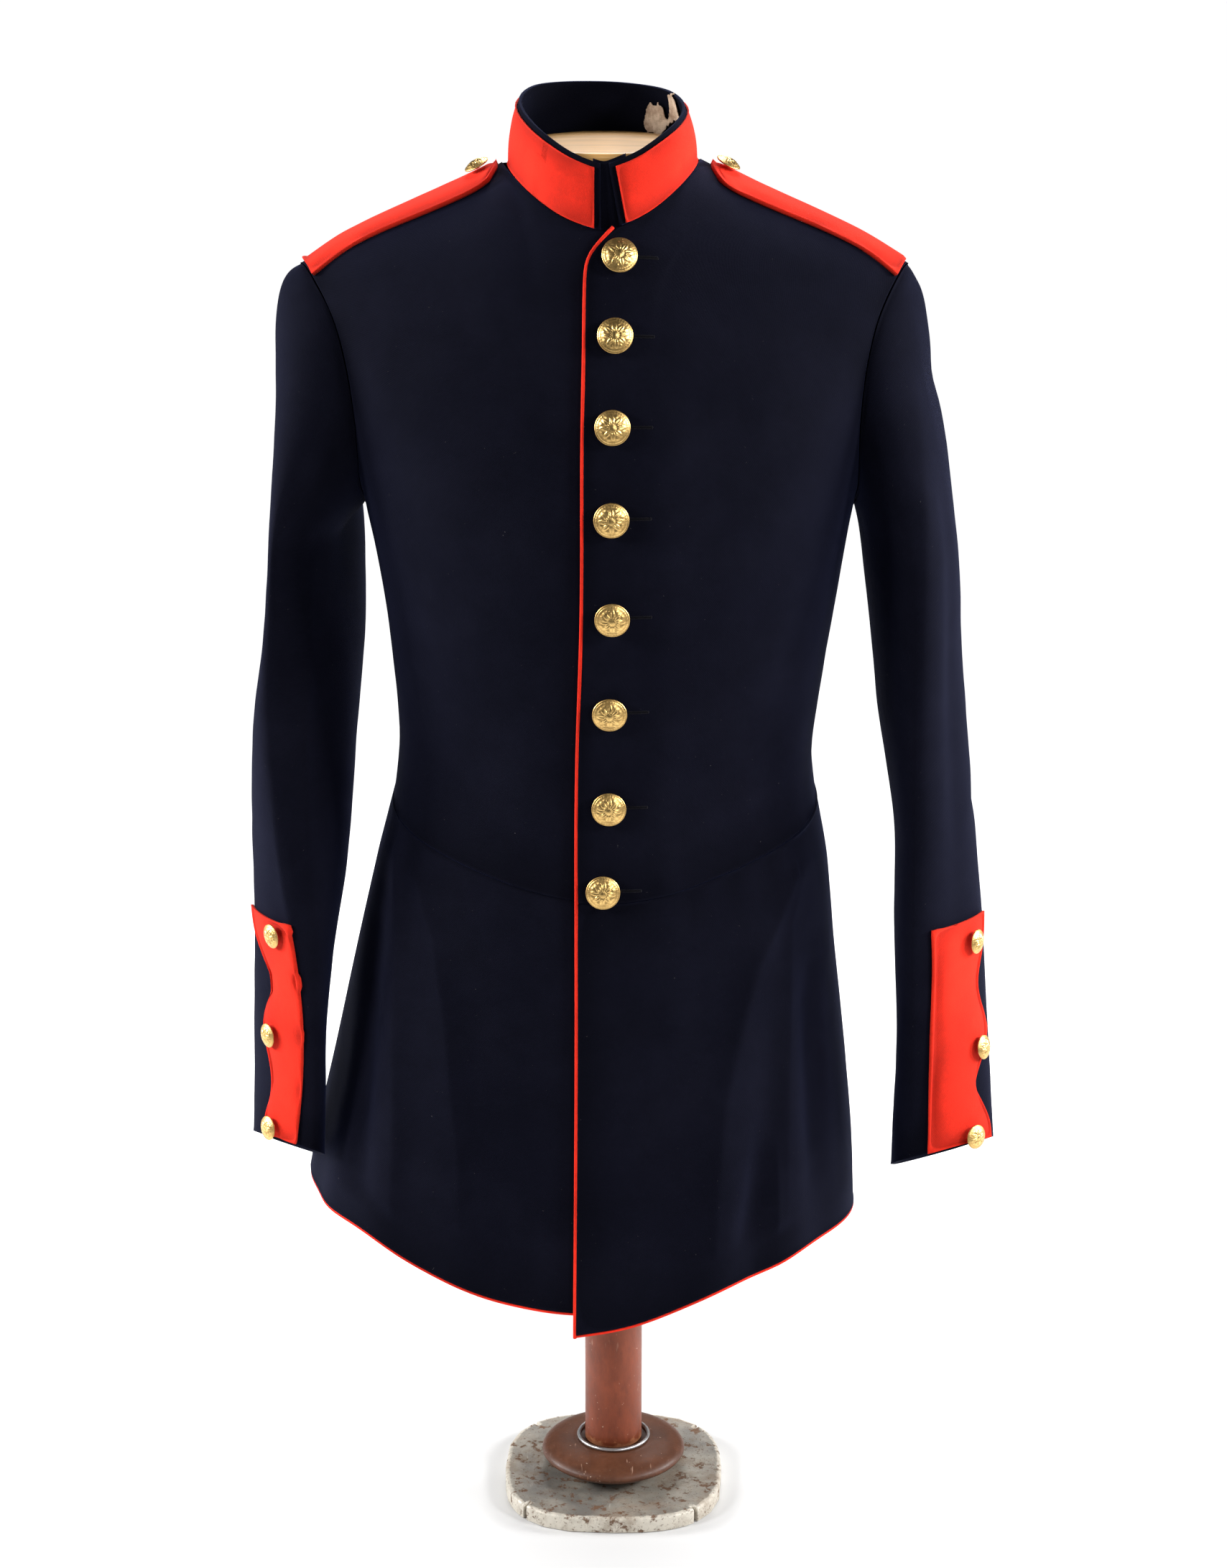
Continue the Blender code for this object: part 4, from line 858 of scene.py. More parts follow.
# Folds by piece: points of the fold's path in millimetres, half width, height, and whether its
# crest is sharp, as in a pressed crease.
FOLDS = {
    "front_right": (
        (((-150, -60, 770), (-110, -100, 640)), 16, 1.2, False),
        (((-140, -60, 560), (-70, -110, 600)), 14, -1.0, False),
        (((-120, -80, 880), (-150, -60, 780)), 14, -1.0, False),
    ),
    "front_left": (
        (((130, -60, 770), (90, -100, 640)), 16, 1.2, False),
        (((125, -60, 560), (60, -110, 600)), 14, -1.0, False),
        (((105, -80, 880), (135, -60, 780)), 14, -1.0, False),
    ),
    "skirt_front_right": (
        (((-149, -46, 519), (-150, -74, 461), (-151, -87, 414), (-151, -98, 365), (-152, -108, 316),
          (-155, -114, 250)), 14, 4.5, True),
        (((-158, -45, 480), (-169, -64, 405), (-174, -75, 355), (-177, -88, 307),
          (-177, -98, 245)), 18, -5.0, False),
        (((-147, -50, 520), (-134, -74, 503), (-121, -93, 465), (-114, -110, 407), (-110, -121, 356),
          (-106, -128, 320), (-105, -134, 262)), 10, 3.0, True),
        (((-100, -110, 440), (-88, -128, 330), (-84, -136, 250)), 16, -1.5, False),
    ),
    "skirt_front_left": (
        (((130, -50, 525), (123, -73, 500), (98, -103, 448), (87, -116, 406), (75, -128, 351),
          (71, -136, 294), (70, -139, 250)), 9, 4.5, True),
        (((128, -60, 505), (121, -79, 473), (121, -87, 414), (120, -97, 365), (120, -105, 315),
          (119, -113, 255)), 11, 2.5, True),
        (((134, -60, 450), (134, -72, 408), (137, -80, 350), (138, -86, 295)), 14, -4.0, False),
        (((112, -108, 316), (113, -112, 285), (114, -116, 240)), 8, 2.5, True),
        (((99, -112, 330), (96, -120, 286), (87, -129, 245)), 9, -2.6, False),
    ),
    "back_left": ((((30, 90, 600), (90, 95, 700)), 16, 1.2, False),),
    "back_right": ((((-42, 90, 600), (-100, 95, 700)), 16, 1.2, False),),
}

# How often the folded pieces are divided.
FINENESS = {"skirt_front": 4, "skirt_back": 3}


def sewn_body(node):
    """The pieces that a body or skirt piece is sewn to."""
    part, wearer = node.rsplit("_", 1)
    other = "right" if wearer == "left" else "left"
    upper, skirt = part.replace("skirt_", ""), part.startswith("skirt_")
    pair = ("skirt_" if skirt else "") + ("back" if upper == "front" else "front")
    found = [f"{pair}_{wearer}", f"{'' if skirt else 'skirt_'}{upper}_{wearer}"]
    if upper == "back":
        found.append(f"{part}_{other}")
    if not skirt:
        found += [f"topsleeve_{wearer}", f"undersleeve_{wearer}", "collar_stand"]
    return found


class TUNIC_OT_body(bpy.types.Operator):
    """Build the fronts, backs and skirt panels"""
    bl_idname = "tunic.body"
    bl_label = "Body and Skirt"

    def execute(self, context):
        material = navy_wool()
        line = centre_line(BODY_NODES)
        for number, node in enumerate(BODY_NODES):
            mesh = fine_wall(node, sewn_body(node), FINENESS.get(node.rsplit("_", 1)[0], 2))
            wrinkle(mesh, FOLDS.get(node, ()), seed=number * 1.7)
            lay_round(mesh, line, BODY_RADIUS)
            above = f"fine_{node.replace('skirt_', '')}" if "skirt" in node else "torso_form"
            made_sheet(node, mesh, material, "tunic_cloth", [above])
        return {"FINISHED"}


# ------------------------------------------------------------------------------- sleeves

SLEEVE_FOLDS = {
    "left": (
        (((206, -40, 865), (205, -62, 780), (205, -69, 690), (206, -70, 543), (207, -72, 434),
          (209, -77, 285)), 11, 4.6, True),
        (((218, -30, 890), (219, 30, 890)), 16, 3.0, False),
        (((208, -30, 835), (218, 10, 835), (208, 50, 835)), 16, -2.5, False),
        (((228, -45, 840), (232, -50, 700), (235, -50, 560), (240, -55, 440)), 14, -2.4, False),
        (((235, 30, 560), (255, -20, 520)), 12, -1.4, False),
        (((195, 20, 560), (215, -40, 540)), 10, 1.2, False),
    ),
    "right": (
        (((-235, -58, 700), (-231, -67, 589), (-225, -72, 492), (-210, -80, 392),
          (-200, -88, 310)), 8, 2.6, True),
        (((-240, -30, 880), (-240, -35, 760)), 10, 1.5, False),
        (((-217, -45, 830), (-213, -62, 740), (-217, -68, 640)), 14, -2.0, False),
        (((-235, 30, 560), (-255, -20, 530)), 12, -1.4, False),
        (((-202, -40, 705), (-204, -48, 660), (-208, -56, 610), (-209, -62, 570),
          (-208, -72, 500)), 9, 3.2, True),
        (((-185, 20, 560), (-205, -40, 540)), 10, 1.2, False),
    ),
}
SLEEVE_SEEDS = {"left": 4, "right": 5}


def sleeve_nodes(wearer):
    return [f"topsleeve_{wearer}", f"undersleeve_{wearer}"]


class TUNIC_OT_sleeves(bpy.types.Operator):
    """Build the two-part sleeves"""
    bl_idname = "tunic.sleeves"
    bl_label = "Sleeves"

    def execute(self, context):
        material = bpy.data.materials["navy_wool"]
        for wearer in SIDES:
            pair = sleeve_nodes(wearer)
            mesh = fine_wall(pair, [f"front_{wearer}", f"back_{wearer}"], 3, groove=0.3 * MM)
            wrinkle(mesh, SLEEVE_FOLDS[wearer], ripple=0.6 * MM, size=0.05,
                    seed=SLEEVE_SEEDS[wearer])
            lay_round(mesh, centre_line(pair), SLEEVE_RADIUS)
            made_sheet(f"sleeve_{wearer}", mesh, material, "tunic_cloth",
                       [f"fine_front_{wearer}", f"fine_back_{wearer}"], *pair)
        return {"FINISHED"}


class TUNIC_OT_cuffs(bpy.types.Operator):
    """Build the scalloped red panels of the cuffs"""
    bl_idname = "tunic.cuffs"
    bl_label = "Cuff Panels"

    def execute(self, context):
        material = red_wool()
        for wearer in SIDES:
            node = f"cuff_panel_{wearer}"
            mesh = fine_wall(node, inset=1.4 * MM, tuck=0.7 * MM, groove=0.5 * MM)
            wrinkle(mesh, SLEEVE_FOLDS[wearer], ripple=0.2 * MM, fade=0.5 * MM, seed=4.0)
            lay_round(mesh, centre_line(sleeve_nodes(wearer)), SLEEVE_RADIUS)
            made_sheet(node, mesh, material, "red_facing", [f"fine_sleeve_{wearer}"])
        return {"FINISHED"}


# -------------------------------------------------------------------------------- collar

TAB_RISE = 5.5 * MM           # the tab behind the opening reaches this much higher
TAB_DROP = 5.0 * MM           # and this much lower than its block


class TUNIC_OT_collar(bpy.types.Operator):
    """Build the standing collar, its red facing and the tab behind its opening"""
    bl_idname = "tunic.collar"
    bl_label = "Collar"

    def execute(self, context):
        navy, red = bpy.data.materials["navy_wool"], bpy.data.materials["red_wool"]
        line = centre_line(["collar_stand"])
        body = ("front_left", "front_right", "back_left", "back_right")
        fronts, stand = ["fine_front_left", "fine_front_right"], ["fine_collar_stand"]
        # Piece, material, slot, what it is sewn to, inset and tuck in mm, and what it rests on.
        rows = (
            ("collar_stand", navy, "tunic_cloth", body, 1.0, 0.0, fronts),
            ("collar_facing", red, "red_facing", (), 1.3, 0.3, stand),
            ("collar_tab", navy, "tunic_cloth", (), 1.0, 0.0, stand),
        )
        for node, material, slot, sewn, inset, tuck, rests_on in rows:
            mesh = fine_wall(node, sewn, inset=inset * MM, tuck=tuck * MM, groove=0.35 * MM)
            wrinkle(mesh, (), ripple=0.3 * MM, size=0.03, fade=0.008, seed=2.0)
            if node == "collar_tab":
                points = points_of(mesh)
                share = (points[:, 2] - points[:, 2].min()) / np.ptp(points[:, 2])
                points[:, 2] += share * TAB_RISE - (1 - share) * TAB_DROP
                set_points(mesh, points)
            lay_round(mesh, line, COLLAR_RADIUS)
            made_sheet(node, mesh, material, slot, rests_on)
        return {"FINISHED"}


# Torn edges of the lining: place across the patch, and how high the cloth starts and ends there.
TORN_TOP = (
    (0.00, 0.30), (0.05, 0.60), (0.12, 0.70), (0.22, 0.66), (0.30, 0.74), (0.40, 0.70),
    (0.44, 0.46), (0.50, 0.42), (0.54, 0.50), (0.58, 0.92), (0.70, 1.00), (0.85, 0.95),
    (0.94, 0.80), (1.00, 0.55),
)
TORN_BASE = (
    (0.00, 0.22), (0.08, 0.08), (0.25, 0.03), (0.38, 0.08), (0.45, 0.24), (0.52, 0.30),
    (0.70, 0.38), (0.90, 0.36), (1.00, 0.45),
)
TORN_CUT = (0.036, 0.032)     # width and height of the patch, laid flat
TORN_WALL = 0.45 * MM
RAGGED, RAGGED_SIZE = 0.07, 1 / 420   # how far its edge frays, as a share, and how finely
CURL_WIDTH = 0.10             # its edge curls within this share of its height
CURL_SIZE = 1 / 130           # from one bump of the curled cloth to the next
COLLAR_LEVEL = 0.99           # height at which the collar's middle is measured
REMNANT_TURN = (24.0, 57.0)   # degrees from the middle of the back towards the wearer's left
REMNANT_HEIGHT = (986 * MM, 1018 * MM)
REMNANT_GAP = 1.3 * MM        # it lies this far inside the collar
REMNANT_REACH = 0.06          # from the neck's middle to the collar, where no ray meets it
REMNANT_GRID = (84, 72)


class TUNIC_OT_lining(bpy.types.Operator):
    """Build the torn remnant of the collar's lining"""
    bl_idname = "tunic.lining"
    bl_label = "Torn Lining"

    def execute(self, context):
        collar = tree_of(["collar_stand"])
        middle = centre_line(["collar_stand"])(np.array([COLLAR_LEVEL]))[0]
        columns, rows = (np.linspace(0, 1, count) for count in REMNANT_GRID)
        bm = bmesh.new()
        grid = []
        for turn in np.radians(np.interp(columns, (0, 1), REMNANT_TURN)):
            way = Vector((math.sin(turn), math.cos(turn), 0))
            reach, line = REMNANT_REACH, []
            for height in np.interp(rows, (0, 1), REMNANT_HEIGHT):
                start = Vector((*middle, height))
                spot = collar.ray_cast(start, way)[0]
                if spot:
                    reach = (spot - start).length
                line.append(bm.verts.new(start + way * (reach - REMNANT_GAP)))
            grid.append(line)
        skin(bm, grid, closed=False)
        mesh = mesh_from(bm, "lining_remnant")
        points = points_of(mesh)
        across, up = (part.ravel() for part in np.meshgrid(columns, rows, indexing="ij"))
        ragged = noise_over(points, RAGGED_SIZE) * RAGGED
        top = np.interp(across, *zip(*TORN_TOP)) + ragged
        base = np.interp(across, *zip(*TORN_BASE)) + ragged
        inside = np.minimum(top - up, up - base)
        curl = np.exp(-np.clip(inside, 0, 1) / CURL_WIDTH)
        away = points[:, :2] - middle
        away /= np.linalg.norm(away, axis=1)[:, None]
        inward = np.pad(-away, ((0, 0), (0, 1)))
        bumps = noise_over(points, CURL_SIZE)
        lift = (0.3 + 1.5 * curl * (0.5 + bumps) + 0.5 * bumps) * MM
        set_points(mesh, points + inward * lift[:, None])
        set_values(mesh, "seam", curl)
        set_uv(mesh, across * TORN_CUT[0], up * TORN_CUT[1])
        bm = bmesh.new()
        bm.from_mesh(mesh)
        lost = [vert for vert, share in zip(bm.verts, inside) if share < 0]
        bmesh.ops.delete(bm, geom=lost, context="VERTS")
        bmesh.ops.solidify(bm, geom=bm.faces, thickness=TORN_WALL)
        bm.to_mesh(mesh)
        bm.free()
        piece = made("fine_lining_remnant", mesh, lining_material(), "lining_remnant",
                     "collar_lining_remnant")
        return {"FINISHED"}


# -------------------------------------------------------------------- straps and piping

class TUNIC_OT_straps(bpy.types.Operator):
    """Build the red shoulder straps"""
    bl_idname = "tunic.straps"
    bl_label = "Shoulder Straps"

    def execute(self, context):
        material = bpy.data.materials["red_wool"]
        for wearer in SIDES:
            node = f"shoulder_strap_{wearer}"
            mesh = fine_wall(node, inset=2.4 * MM, tuck=1.3 * MM, groove=0.5 * MM)
            wrinkle(mesh, (), ripple=0.35 * MM, size=0.035, fade=0.008, seed=6.0)
            points = points_of(mesh)
            set_uv(mesh, points[:, 0], points[:, 1])
            made_sheet(node, mesh, material, "red_facing",
                       [f"fine_front_{wearer}", f"fine_back_{wearer}"])
        return {"FINISHED"}


# Piping: node, how much its round is filled out, and its shift against the cloth's edge.
PIPING = (("piping_front", 0.26 * MM, 0.9 * MM), ("piping_hem", 0.28 * MM, 0.0))
PIPING_CORNER = 75            # degrees; its ends turn more sharply than this


class TUNIC_OT_piping(bpy.types.Operator):
    """Build the red piping of the front edge and the hem"""
    bl_idname = "tunic.piping"
    bl_label = "Piping"

    def execute(self, context):
        material = bpy.data.materials["red_wool"]
        for node, grow, shift in PIPING:
            bm = grid_copy(node)
            for vert in bm.verts:
                vert.co += vert.normal * grow
                vert.co.x += shift
            crease_sharp(bm, PIPING_CORNER)
            mesh = refined(bm, node, 2)
            points = points_of(mesh)
            set_values(mesh, "seam", np.zeros(len(points)))
            set_uv(mesh, points[:, 2], points[:, 0] + points[:, 1])
            made(f"fine_{node}", mesh, material, "red_piping", node)
        return {"FINISHED"}


# ------------------------------------------------------------------------------- buttons

BEADS = 36
PETALS = 8
BUTTON_SIDES = 96
# Rings of a button of radius 1, as (radius, height): the seat and shank under its rim.
BUTTON_BACK = ((0.995, 0.26), (0.96, 0.225), (0.88, 0.20), (0.40, 0.17), (0.30, 0.14),
               (0.26, 0.05), (0.2, 0.0))


def hump(values, middle, width):
    """A smooth hump of height 1."""
    return np.exp(-((values - middle) / width) ** 2)


def button_relief(radius, turn):
    """Height of the struck pattern, as shares of the relief, at a place on the dome."""
    ring = hump(radius, 0.86, 0.055) * (0.55 + 0.45 * np.cos(turn * BEADS)) * 0.7
    wave = 0.5 + 0.5 * np.cos(turn * PETALS)
    petal = 1 - eased(radius, 0.34 + 0.34 * wave, 0.42 + 0.36 * wave)
    vein = 0.75 + 0.25 * np.cos(turn * PETALS * 2 + 3.1) * eased(radius, 0.1, 0.3)
    dip = 1 - 0.55 * hump(radius, 0.24, 0.05)
    leaves = (0.5 + 0.5 * np.cos(turn * PETALS + math.pi)) ** 2 * hump(radius, 0.66, 0.09)
    boss = hump(radius, 0.0, 0.13) * 0.5
    return petal * vein * dip + 0.7 * leaves + ring + boss


def button_mesh(name, relief):
    """A domed button of radius 1 on its seat: struck dome, rolled rim, back and shank."""
    turns = np.arange(BUTTON_SIDES) * math.tau / BUTTON_SIDES
    rows = []
    for radius in (*np.linspace(0.04, 0.93, 24), 0.955, 0.98, 0.997, 1.0):
        dome = 0.30 + 0.30 * (1 - radius ** 2.4) + 0.035 * hump(radius, 0.965, 0.022)
        struck = button_relief(radius, turns) if radius < 0.94 else np.zeros(BUTTON_SIDES)
        rows.append((radius, dome + relief * struck, struck))
    for radius, height in BUTTON_BACK:
        rows.append((radius, np.full(BUTTON_SIDES, height), np.full(BUTTON_SIDES, 0.5)))
    bm = bmesh.new()
    layer = bm.verts.layers.float.new("raised")
    rings = []
    for radius, heights, struck in rows:
        ring = [bm.verts.new((radius * math.cos(turn), radius * math.sin(turn), height))
                for turn, height in zip(turns, heights)]
        for vert, value in zip(ring, struck):
            vert[layer] = float(np.clip(0.15 + value, 0, 1))
        rings.append(ring)
    tube(bm, rings, turned=True)
    return mesh_from(bm, name)


def button_frame(node):
    """Seat, radius and axes of a button, measured from its node."""
    points = points_of(frame["nodes"][node].data)
    middle = points.mean(axis=0)
    axis = np.linalg.eigh(np.cov((points - middle).T))[1][:, 0]
    outward = np.array([middle[0] - MIDDLE, middle[1], 0.0])
    if "cuff" in node:
        outward = np.array([0.0, -1.0, 0.0])
    if "strap" in node:
        outward = np.array([0.0, 0.0, 1.0])
    axis = axis * (1 if axis @ outward > 0 else -1)
    heights = (points - middle) @ axis
    radius = np.linalg.norm(points - middle - heights[:, None] * axis, axis=1).max()
    seat = middle + axis * heights.min()
    up = np.array([0.0, 0.0, 1.0]) if abs(axis[2]) < 0.8 else np.array([0.0, 1.0, 0.0])
    side = np.cross(up, axis)
    side /= np.linalg.norm(side)
    return seat, radius, np.stack([side, np.cross(axis, side), axis], axis=1)


class TUNIC_OT_buttons(bpy.types.Operator):
    """Build the gilt buttons of the front, cuffs and straps"""
    bl_idname = "tunic.buttons"
    bl_label = "Buttons"

    def execute(self, context):
        material = gilt_material()
        nodes = sorted(name for name in frame["nodes"] if "_button_" in name)
        for number, node in enumerate(nodes):
            mesh = button_mesh(node, context.scene.tunic_buttons.relief)
            seat, radius, axes = button_frame(node)
            spin = (number * 37 % 19 - 9) * 0.03    # no two are sewn on at quite the same turn
            turn = np.array(Matrix.Rotation(spin, 3, "Z"))
            set_points(mesh, (points_of(mesh) * radius) @ turn.T @ axes.T + seat)
            made(f"fine_{node}", mesh, material, "gilt_buttons", node)
        return {"FINISHED"}


HOLE_START = 7.0 * MM         # a buttonhole, from the button's centre
HOLE_END = 25.5 * MM
STITCH = 0.55 * MM            # from one stitch to the next
STITCH_REACH = 0.85 * MM
STITCH_SIDES = 5
THREAD = 0.15 * MM
SLIT = 0.32 * MM              # half the width of the slit
SLIT_LIFT = 0.06 * MM         # the painted shadow over the slit stands this high over the cloth
FAN = range(-78, 79, 26)      # degrees, of the stitches round its end


def stitch(bm, tree, start, end):
    """One purl of thread that stands over the cloth from start to end."""
    rings = []
    way = (end - start).normalized()
    for share in np.linspace(0, 1, 6):
        spot, normal, _, _ = tree.find_nearest(start.lerp(end, share))
        centre = spot + normal * (THREAD * (0.4 + 1.1 * math.sin(math.pi * share)))
        side = normal.cross(way).normalized()
        turns = (math.tau * k / STITCH_SIDES for k in range(STITCH_SIDES))
        rings.append([bm.verts.new(centre + (side * math.cos(a) + normal * math.sin(a)) * THREAD)
                      for a in turns])
    tube(bm, rings)


def buttonhole(name, tree, centre, normal):
    """A worked buttonhole: two rows of purls round a slit under a dark strip of painted shadow, with
    a fan at its end.
    """
    bm = bmesh.new()
    along = Vector((0, 0, 1)).cross(normal).normalized()
    if along.x < 0:
        along = -along
    across = normal.cross(along).normalized()
    count = int((HOLE_END - HOLE_START) / STITCH)
    for i in range(count):
        spot = centre + along * (HOLE_START + STITCH * i)
        for way in (-1, 1):
            jitter = 1 + 0.12 * noise.noise(Vector((i * 1.3, way * 5.0, centre.z * 90)))
            stitch(bm, tree, spot + across * way * SLIT,
                   spot + across * way * (SLIT + STITCH_REACH * jitter))
    tip = centre + along * (HOLE_START + STITCH * count)
    for turn in map(math.radians, FAN):
        ray = along * math.cos(turn) + across * math.sin(turn)
        stitch(bm, tree, tip + ray * SLIT, tip + ray * (SLIT + STITCH_REACH))
    # A dark strip over the slit, with the second material: a painted shadow.
    rows = []
    for i in range(count + 1):
        spot, out, _, _ = tree.find_nearest(centre + along * (HOLE_START + STITCH * i))
        rows.append([bm.verts.new(spot + out * SLIT_LIFT + across * way * SLIT * 1.2)
                     for way in (-1, 0, 1)])
    skin(bm, rows, closed=False, material=1, turned=True)
    return mesh_from(bm, name)


class TUNIC_OT_buttonholes(bpy.types.Operator):
    """Build the worked buttonholes beside the front buttons"""
    bl_idname = "tunic.buttonholes"
    bl_label = "Buttonholes"

    def execute(self, context):
        thread = fibre_material("navy_thread", 2600.0, 3.0, (0.003, 0.003, 0.006),
                                (0.014, 0.013, 0.018), 0.75, 0.15)
        # The slit's material is a painted shadow, not cloth.
        slit = fibre_material("slit_shadow", 1800.0, 2.0, (0.0012, 0.0012, 0.002),
                              (0.003, 0.003, 0.005), 0.95, 0.1)
        tree = tree_over([bpy.data.objects["fine_front_left"].data])
        for number in range(1, 9):
            seat, _, axes = button_frame(f"front_button_{number}")
            centre = tree.find_nearest(Vector(seat))[0]
            name = f"buttonhole_{number}"
            mesh = buttonhole(name, tree, centre, Vector(axes[:, 2]))
            mesh.materials.append(thread)
            mesh.materials.append(slit)
            made(name, mesh, thread, "tunic_cloth")
        return {"FINISHED"}


# ----------------------------------------------------------------------- form and stand

def crease_sharp(bm, angle=50):
    """Keep the edges crisp that turn more than this many degrees."""
    layer = bm.edges.layers.float.get("crease_edge") or bm.edges.layers.float.new("crease_edge")
    for edge in bm.edges:
        if len(edge.link_faces) == 2 and edge.calc_face_angle() > math.radians(angle):
            edge[layer] = 1.0


def mark_edges(mesh, full=700.0):
    """Store how sharply each place turns outward, for the wear; full is the sharpest, in 1/m."""
    points, normals = points_of(mesh), normals_of(mesh)
    pairs = np.empty(len(mesh.edges) * 2, dtype=np.int32)
    mesh.edges.foreach_get("vertices", pairs)
    one, two = pairs.reshape(-1, 2).T
    gap = points[two] - points[one]
    square = np.maximum((gap ** 2).sum(axis=1), 1e-12)
    bend = ((normals[two] - normals[one]) * gap).sum(axis=1) / square
    total = np.zeros(len(points))
    for end in (one, two):
        np.maximum.at(total, end, bend)
    set_values(mesh, "edge", np.clip(total / full, 0, 1))


def lathe(profile, segments, wobble):
    """A turned solid about the pole's axis; profile is (radius, height) in millimetres."""
    bm = bmesh.new()
    rings = []
    for radius, height in profile:
        ring = []
        for turn in np.arange(segments) * math.tau / segments:
            x, y = math.cos(turn), math.sin(turn)
            reach = radius + wobble * noise.noise(Vector((x * 1.5, y * 1.5, height / 60)))
            ring.append(bm.verts.new((reach * MM * x, reach * MM * y, height * MM)))
        rings.append(ring)
    tube(bm, rings)
    bm.normal_update()
    return bm


def box_mm(node):
    """Lowest and highest corner of a frame node, in millimetres."""
    return (np.array(corner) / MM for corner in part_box(node))


CAP_CROWN = 2.0 * MM          # the neck cap's top is crowned by this


class TUNIC_OT_form(bpy.types.Operator):
    """Build the linen-covered torso form and its wooden neck cap"""
    bl_idname = "tunic.form"
    bl_label = "Dress Form"

    def execute(self, context):
        bm = grid_copy("torso_form")
        crease_sharp(bm)
        mesh = refined(bm, "torso_form", 2)
        lay_round(mesh, centre_line(["torso_form"]), FORM_RADIUS)
        made("fine_torso_form", mesh, linen_material(), "form_cover", "torso_form")

        bm = plain_copy("neck_cap")
        low, high = (np.array(corner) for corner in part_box("neck_cap"))
        bmesh.ops.dissolve_limit(bm, angle_limit=math.radians(2), verts=bm.verts, edges=bm.edges)
        tops = [face for face in bm.faces if face.normal.z > 0.9]
        for _ in range(4):
            bmesh.ops.inset_region(bm, faces=tops, thickness=10 * MM, use_even_offset=True)
        mesh = refined(bm, "neck_cap", 2, bevel=0.8 * MM)
        points = points_of(mesh)
        away = np.linalg.norm(points[:, :2] - (low + high)[:2] / 2, axis=1)
        share = away / ((high[0] - low[0]) / 2)
        top = eased(points[:, 2], high[2] - 2 * MM, high[2] - 0.5 * MM)
        points[:, 2] += top * np.clip(1 - share ** 2, 0, 1) * CAP_CROWN
        set_points(mesh, points)
        mark_edges(mesh)
        made("fine_neck_cap", mesh, cap_material(), "neck_wood", "neck_cap")
        return {"FINISHED"}


POLE_CHAMFER = 0.8            # millimetres, at both ends
# Outline of the turned flange: how much narrower it is than at its widest, in millimetres, and
# the share of its height. Its top is given by radius and by depth below the top, in millimetres.
FLANGE_OUTLINE = (
    (23.0, 0.0), (19.0, 0.06), (13.0, 0.20), (7.0, 0.36), (2.2, 0.49), (0.5, 0.56), (0.0, 0.62),
    (0.6, 0.70), (2.8, 0.79), (6.6, 0.87), (11.4, 0.93), (16.6, 0.965), (21.0, 0.98),
)
FLANGE_TOP = ((29.6, 0.5), (28.6, 0.1), (27.4, 0.0), (22.0, 0.0), (21.4, 0.2))
FLANGE_TONE = (0.50, 0.80, 0.95)   # the flange's colour, as shares of the pole's
PLATE_MIDDLE = 0.01           # the plate's wide faces are larger than this, in square metres
PLATE_BORDER = 2.5 * MM       # each of the two borders that keep its edge wear narrow


class TUNIC_OT_stand(bpy.types.Operator):
    """Build the pole, the turned flange, its steel ring and the base plate"""
    bl_idname = "tunic.stand"
    bl_label = "Stand"

    def execute(self, context):
        tint = tuple(context.scene.tunic_stand.pole)
        low, high = box_mm("pole")
        radius = (high[0] - low[0]) / 2
        heights = np.linspace(low[2] + POLE_CHAMFER, high[2] - POLE_CHAMFER, 40)
        profile = [(radius - POLE_CHAMFER, low[2]), *((radius, height) for height in heights),
                   (radius - POLE_CHAMFER, high[2])]
        mesh = refined(lathe(profile, 64, wobble=0.25), "pole", 0)
        mark_edges(mesh)
        wood = stained_wood_material("pole_wood", tint, (2.2, 2.2, 0.8))
        made("fine_pole", mesh, wood, "pole_wood", "pole")

        low, high = box_mm("flange")
        wide, rise = (high[0] - low[0]) / 2, high[2] - low[2]
        profile = [(wide - narrower, low[2] + rise * share) for narrower, share in FLANGE_OUTLINE]
        profile += [(radius, high[2] - depth) for radius, depth in FLANGE_TOP]
        mesh = refined(lathe(profile, 96, wobble=0.3), "flange", 1)
        mark_edges(mesh, 1100.0)
        darker = tuple(c * share for c, share in zip(tint, FLANGE_TONE))
        wood = stained_wood_material("flange_wood", darker, (1.6, 1.6, 1.6))
        made("fine_flange", mesh, wood, "pole_wood", "flange")

        low, high = box_mm("pole_ring")
        wire = (high[2] - low[2]) / 2
        bpy.ops.mesh.primitive_torus_add(
            major_segments=96, minor_segments=20, location=(0, 0, 0), minor_radius=wire * MM,
            major_radius=((high[0] - low[0]) / 2 - wire) * MM)
        ring = bpy.context.object
        mesh = ring.data.copy()
        bpy.data.objects.remove(ring)
        set_points(mesh, points_of(mesh) + (0.0, 0.0, (high[2] + low[2]) / 2 * MM))
        made("fine_pole_ring", mesh, steel_material(), "ring_steel", "pole_ring")

        bm = plain_copy("base_plate")
        bmesh.ops.dissolve_limit(bm, angle_limit=math.radians(1), verts=bm.verts, edges=bm.edges)
        for _ in range(2):
            flat = [face for face in bm.faces
                    if abs(face.normal.z) > 0.9 and face.calc_area() > PLATE_MIDDLE]
            bmesh.ops.inset_individual(bm, faces=flat, thickness=PLATE_BORDER)
        mesh = refined(bm, "base_plate", 0, bevel=0.9 * MM, bevel_steps=4)
        mark_edges(mesh, 500.0)
        # How upright each place is, which makes the plate's sides paler.
        set_values(mesh, "side", 1 - np.abs(normals_of(mesh)[:, 2]))
        made("fine_base_plate", mesh, paint_material(), "base_paint", "base_plate")
        return {"FINISHED"}


# --------------------------------------------------------------------------------- stage

CAMERA_PLACE = (0.0, -2.400, 1.349)
CAMERA_DOWN = 18.52           # degrees below level
CAMERA_LENS = 83.4            # millimetres, for a frame whose long side is 36 mm

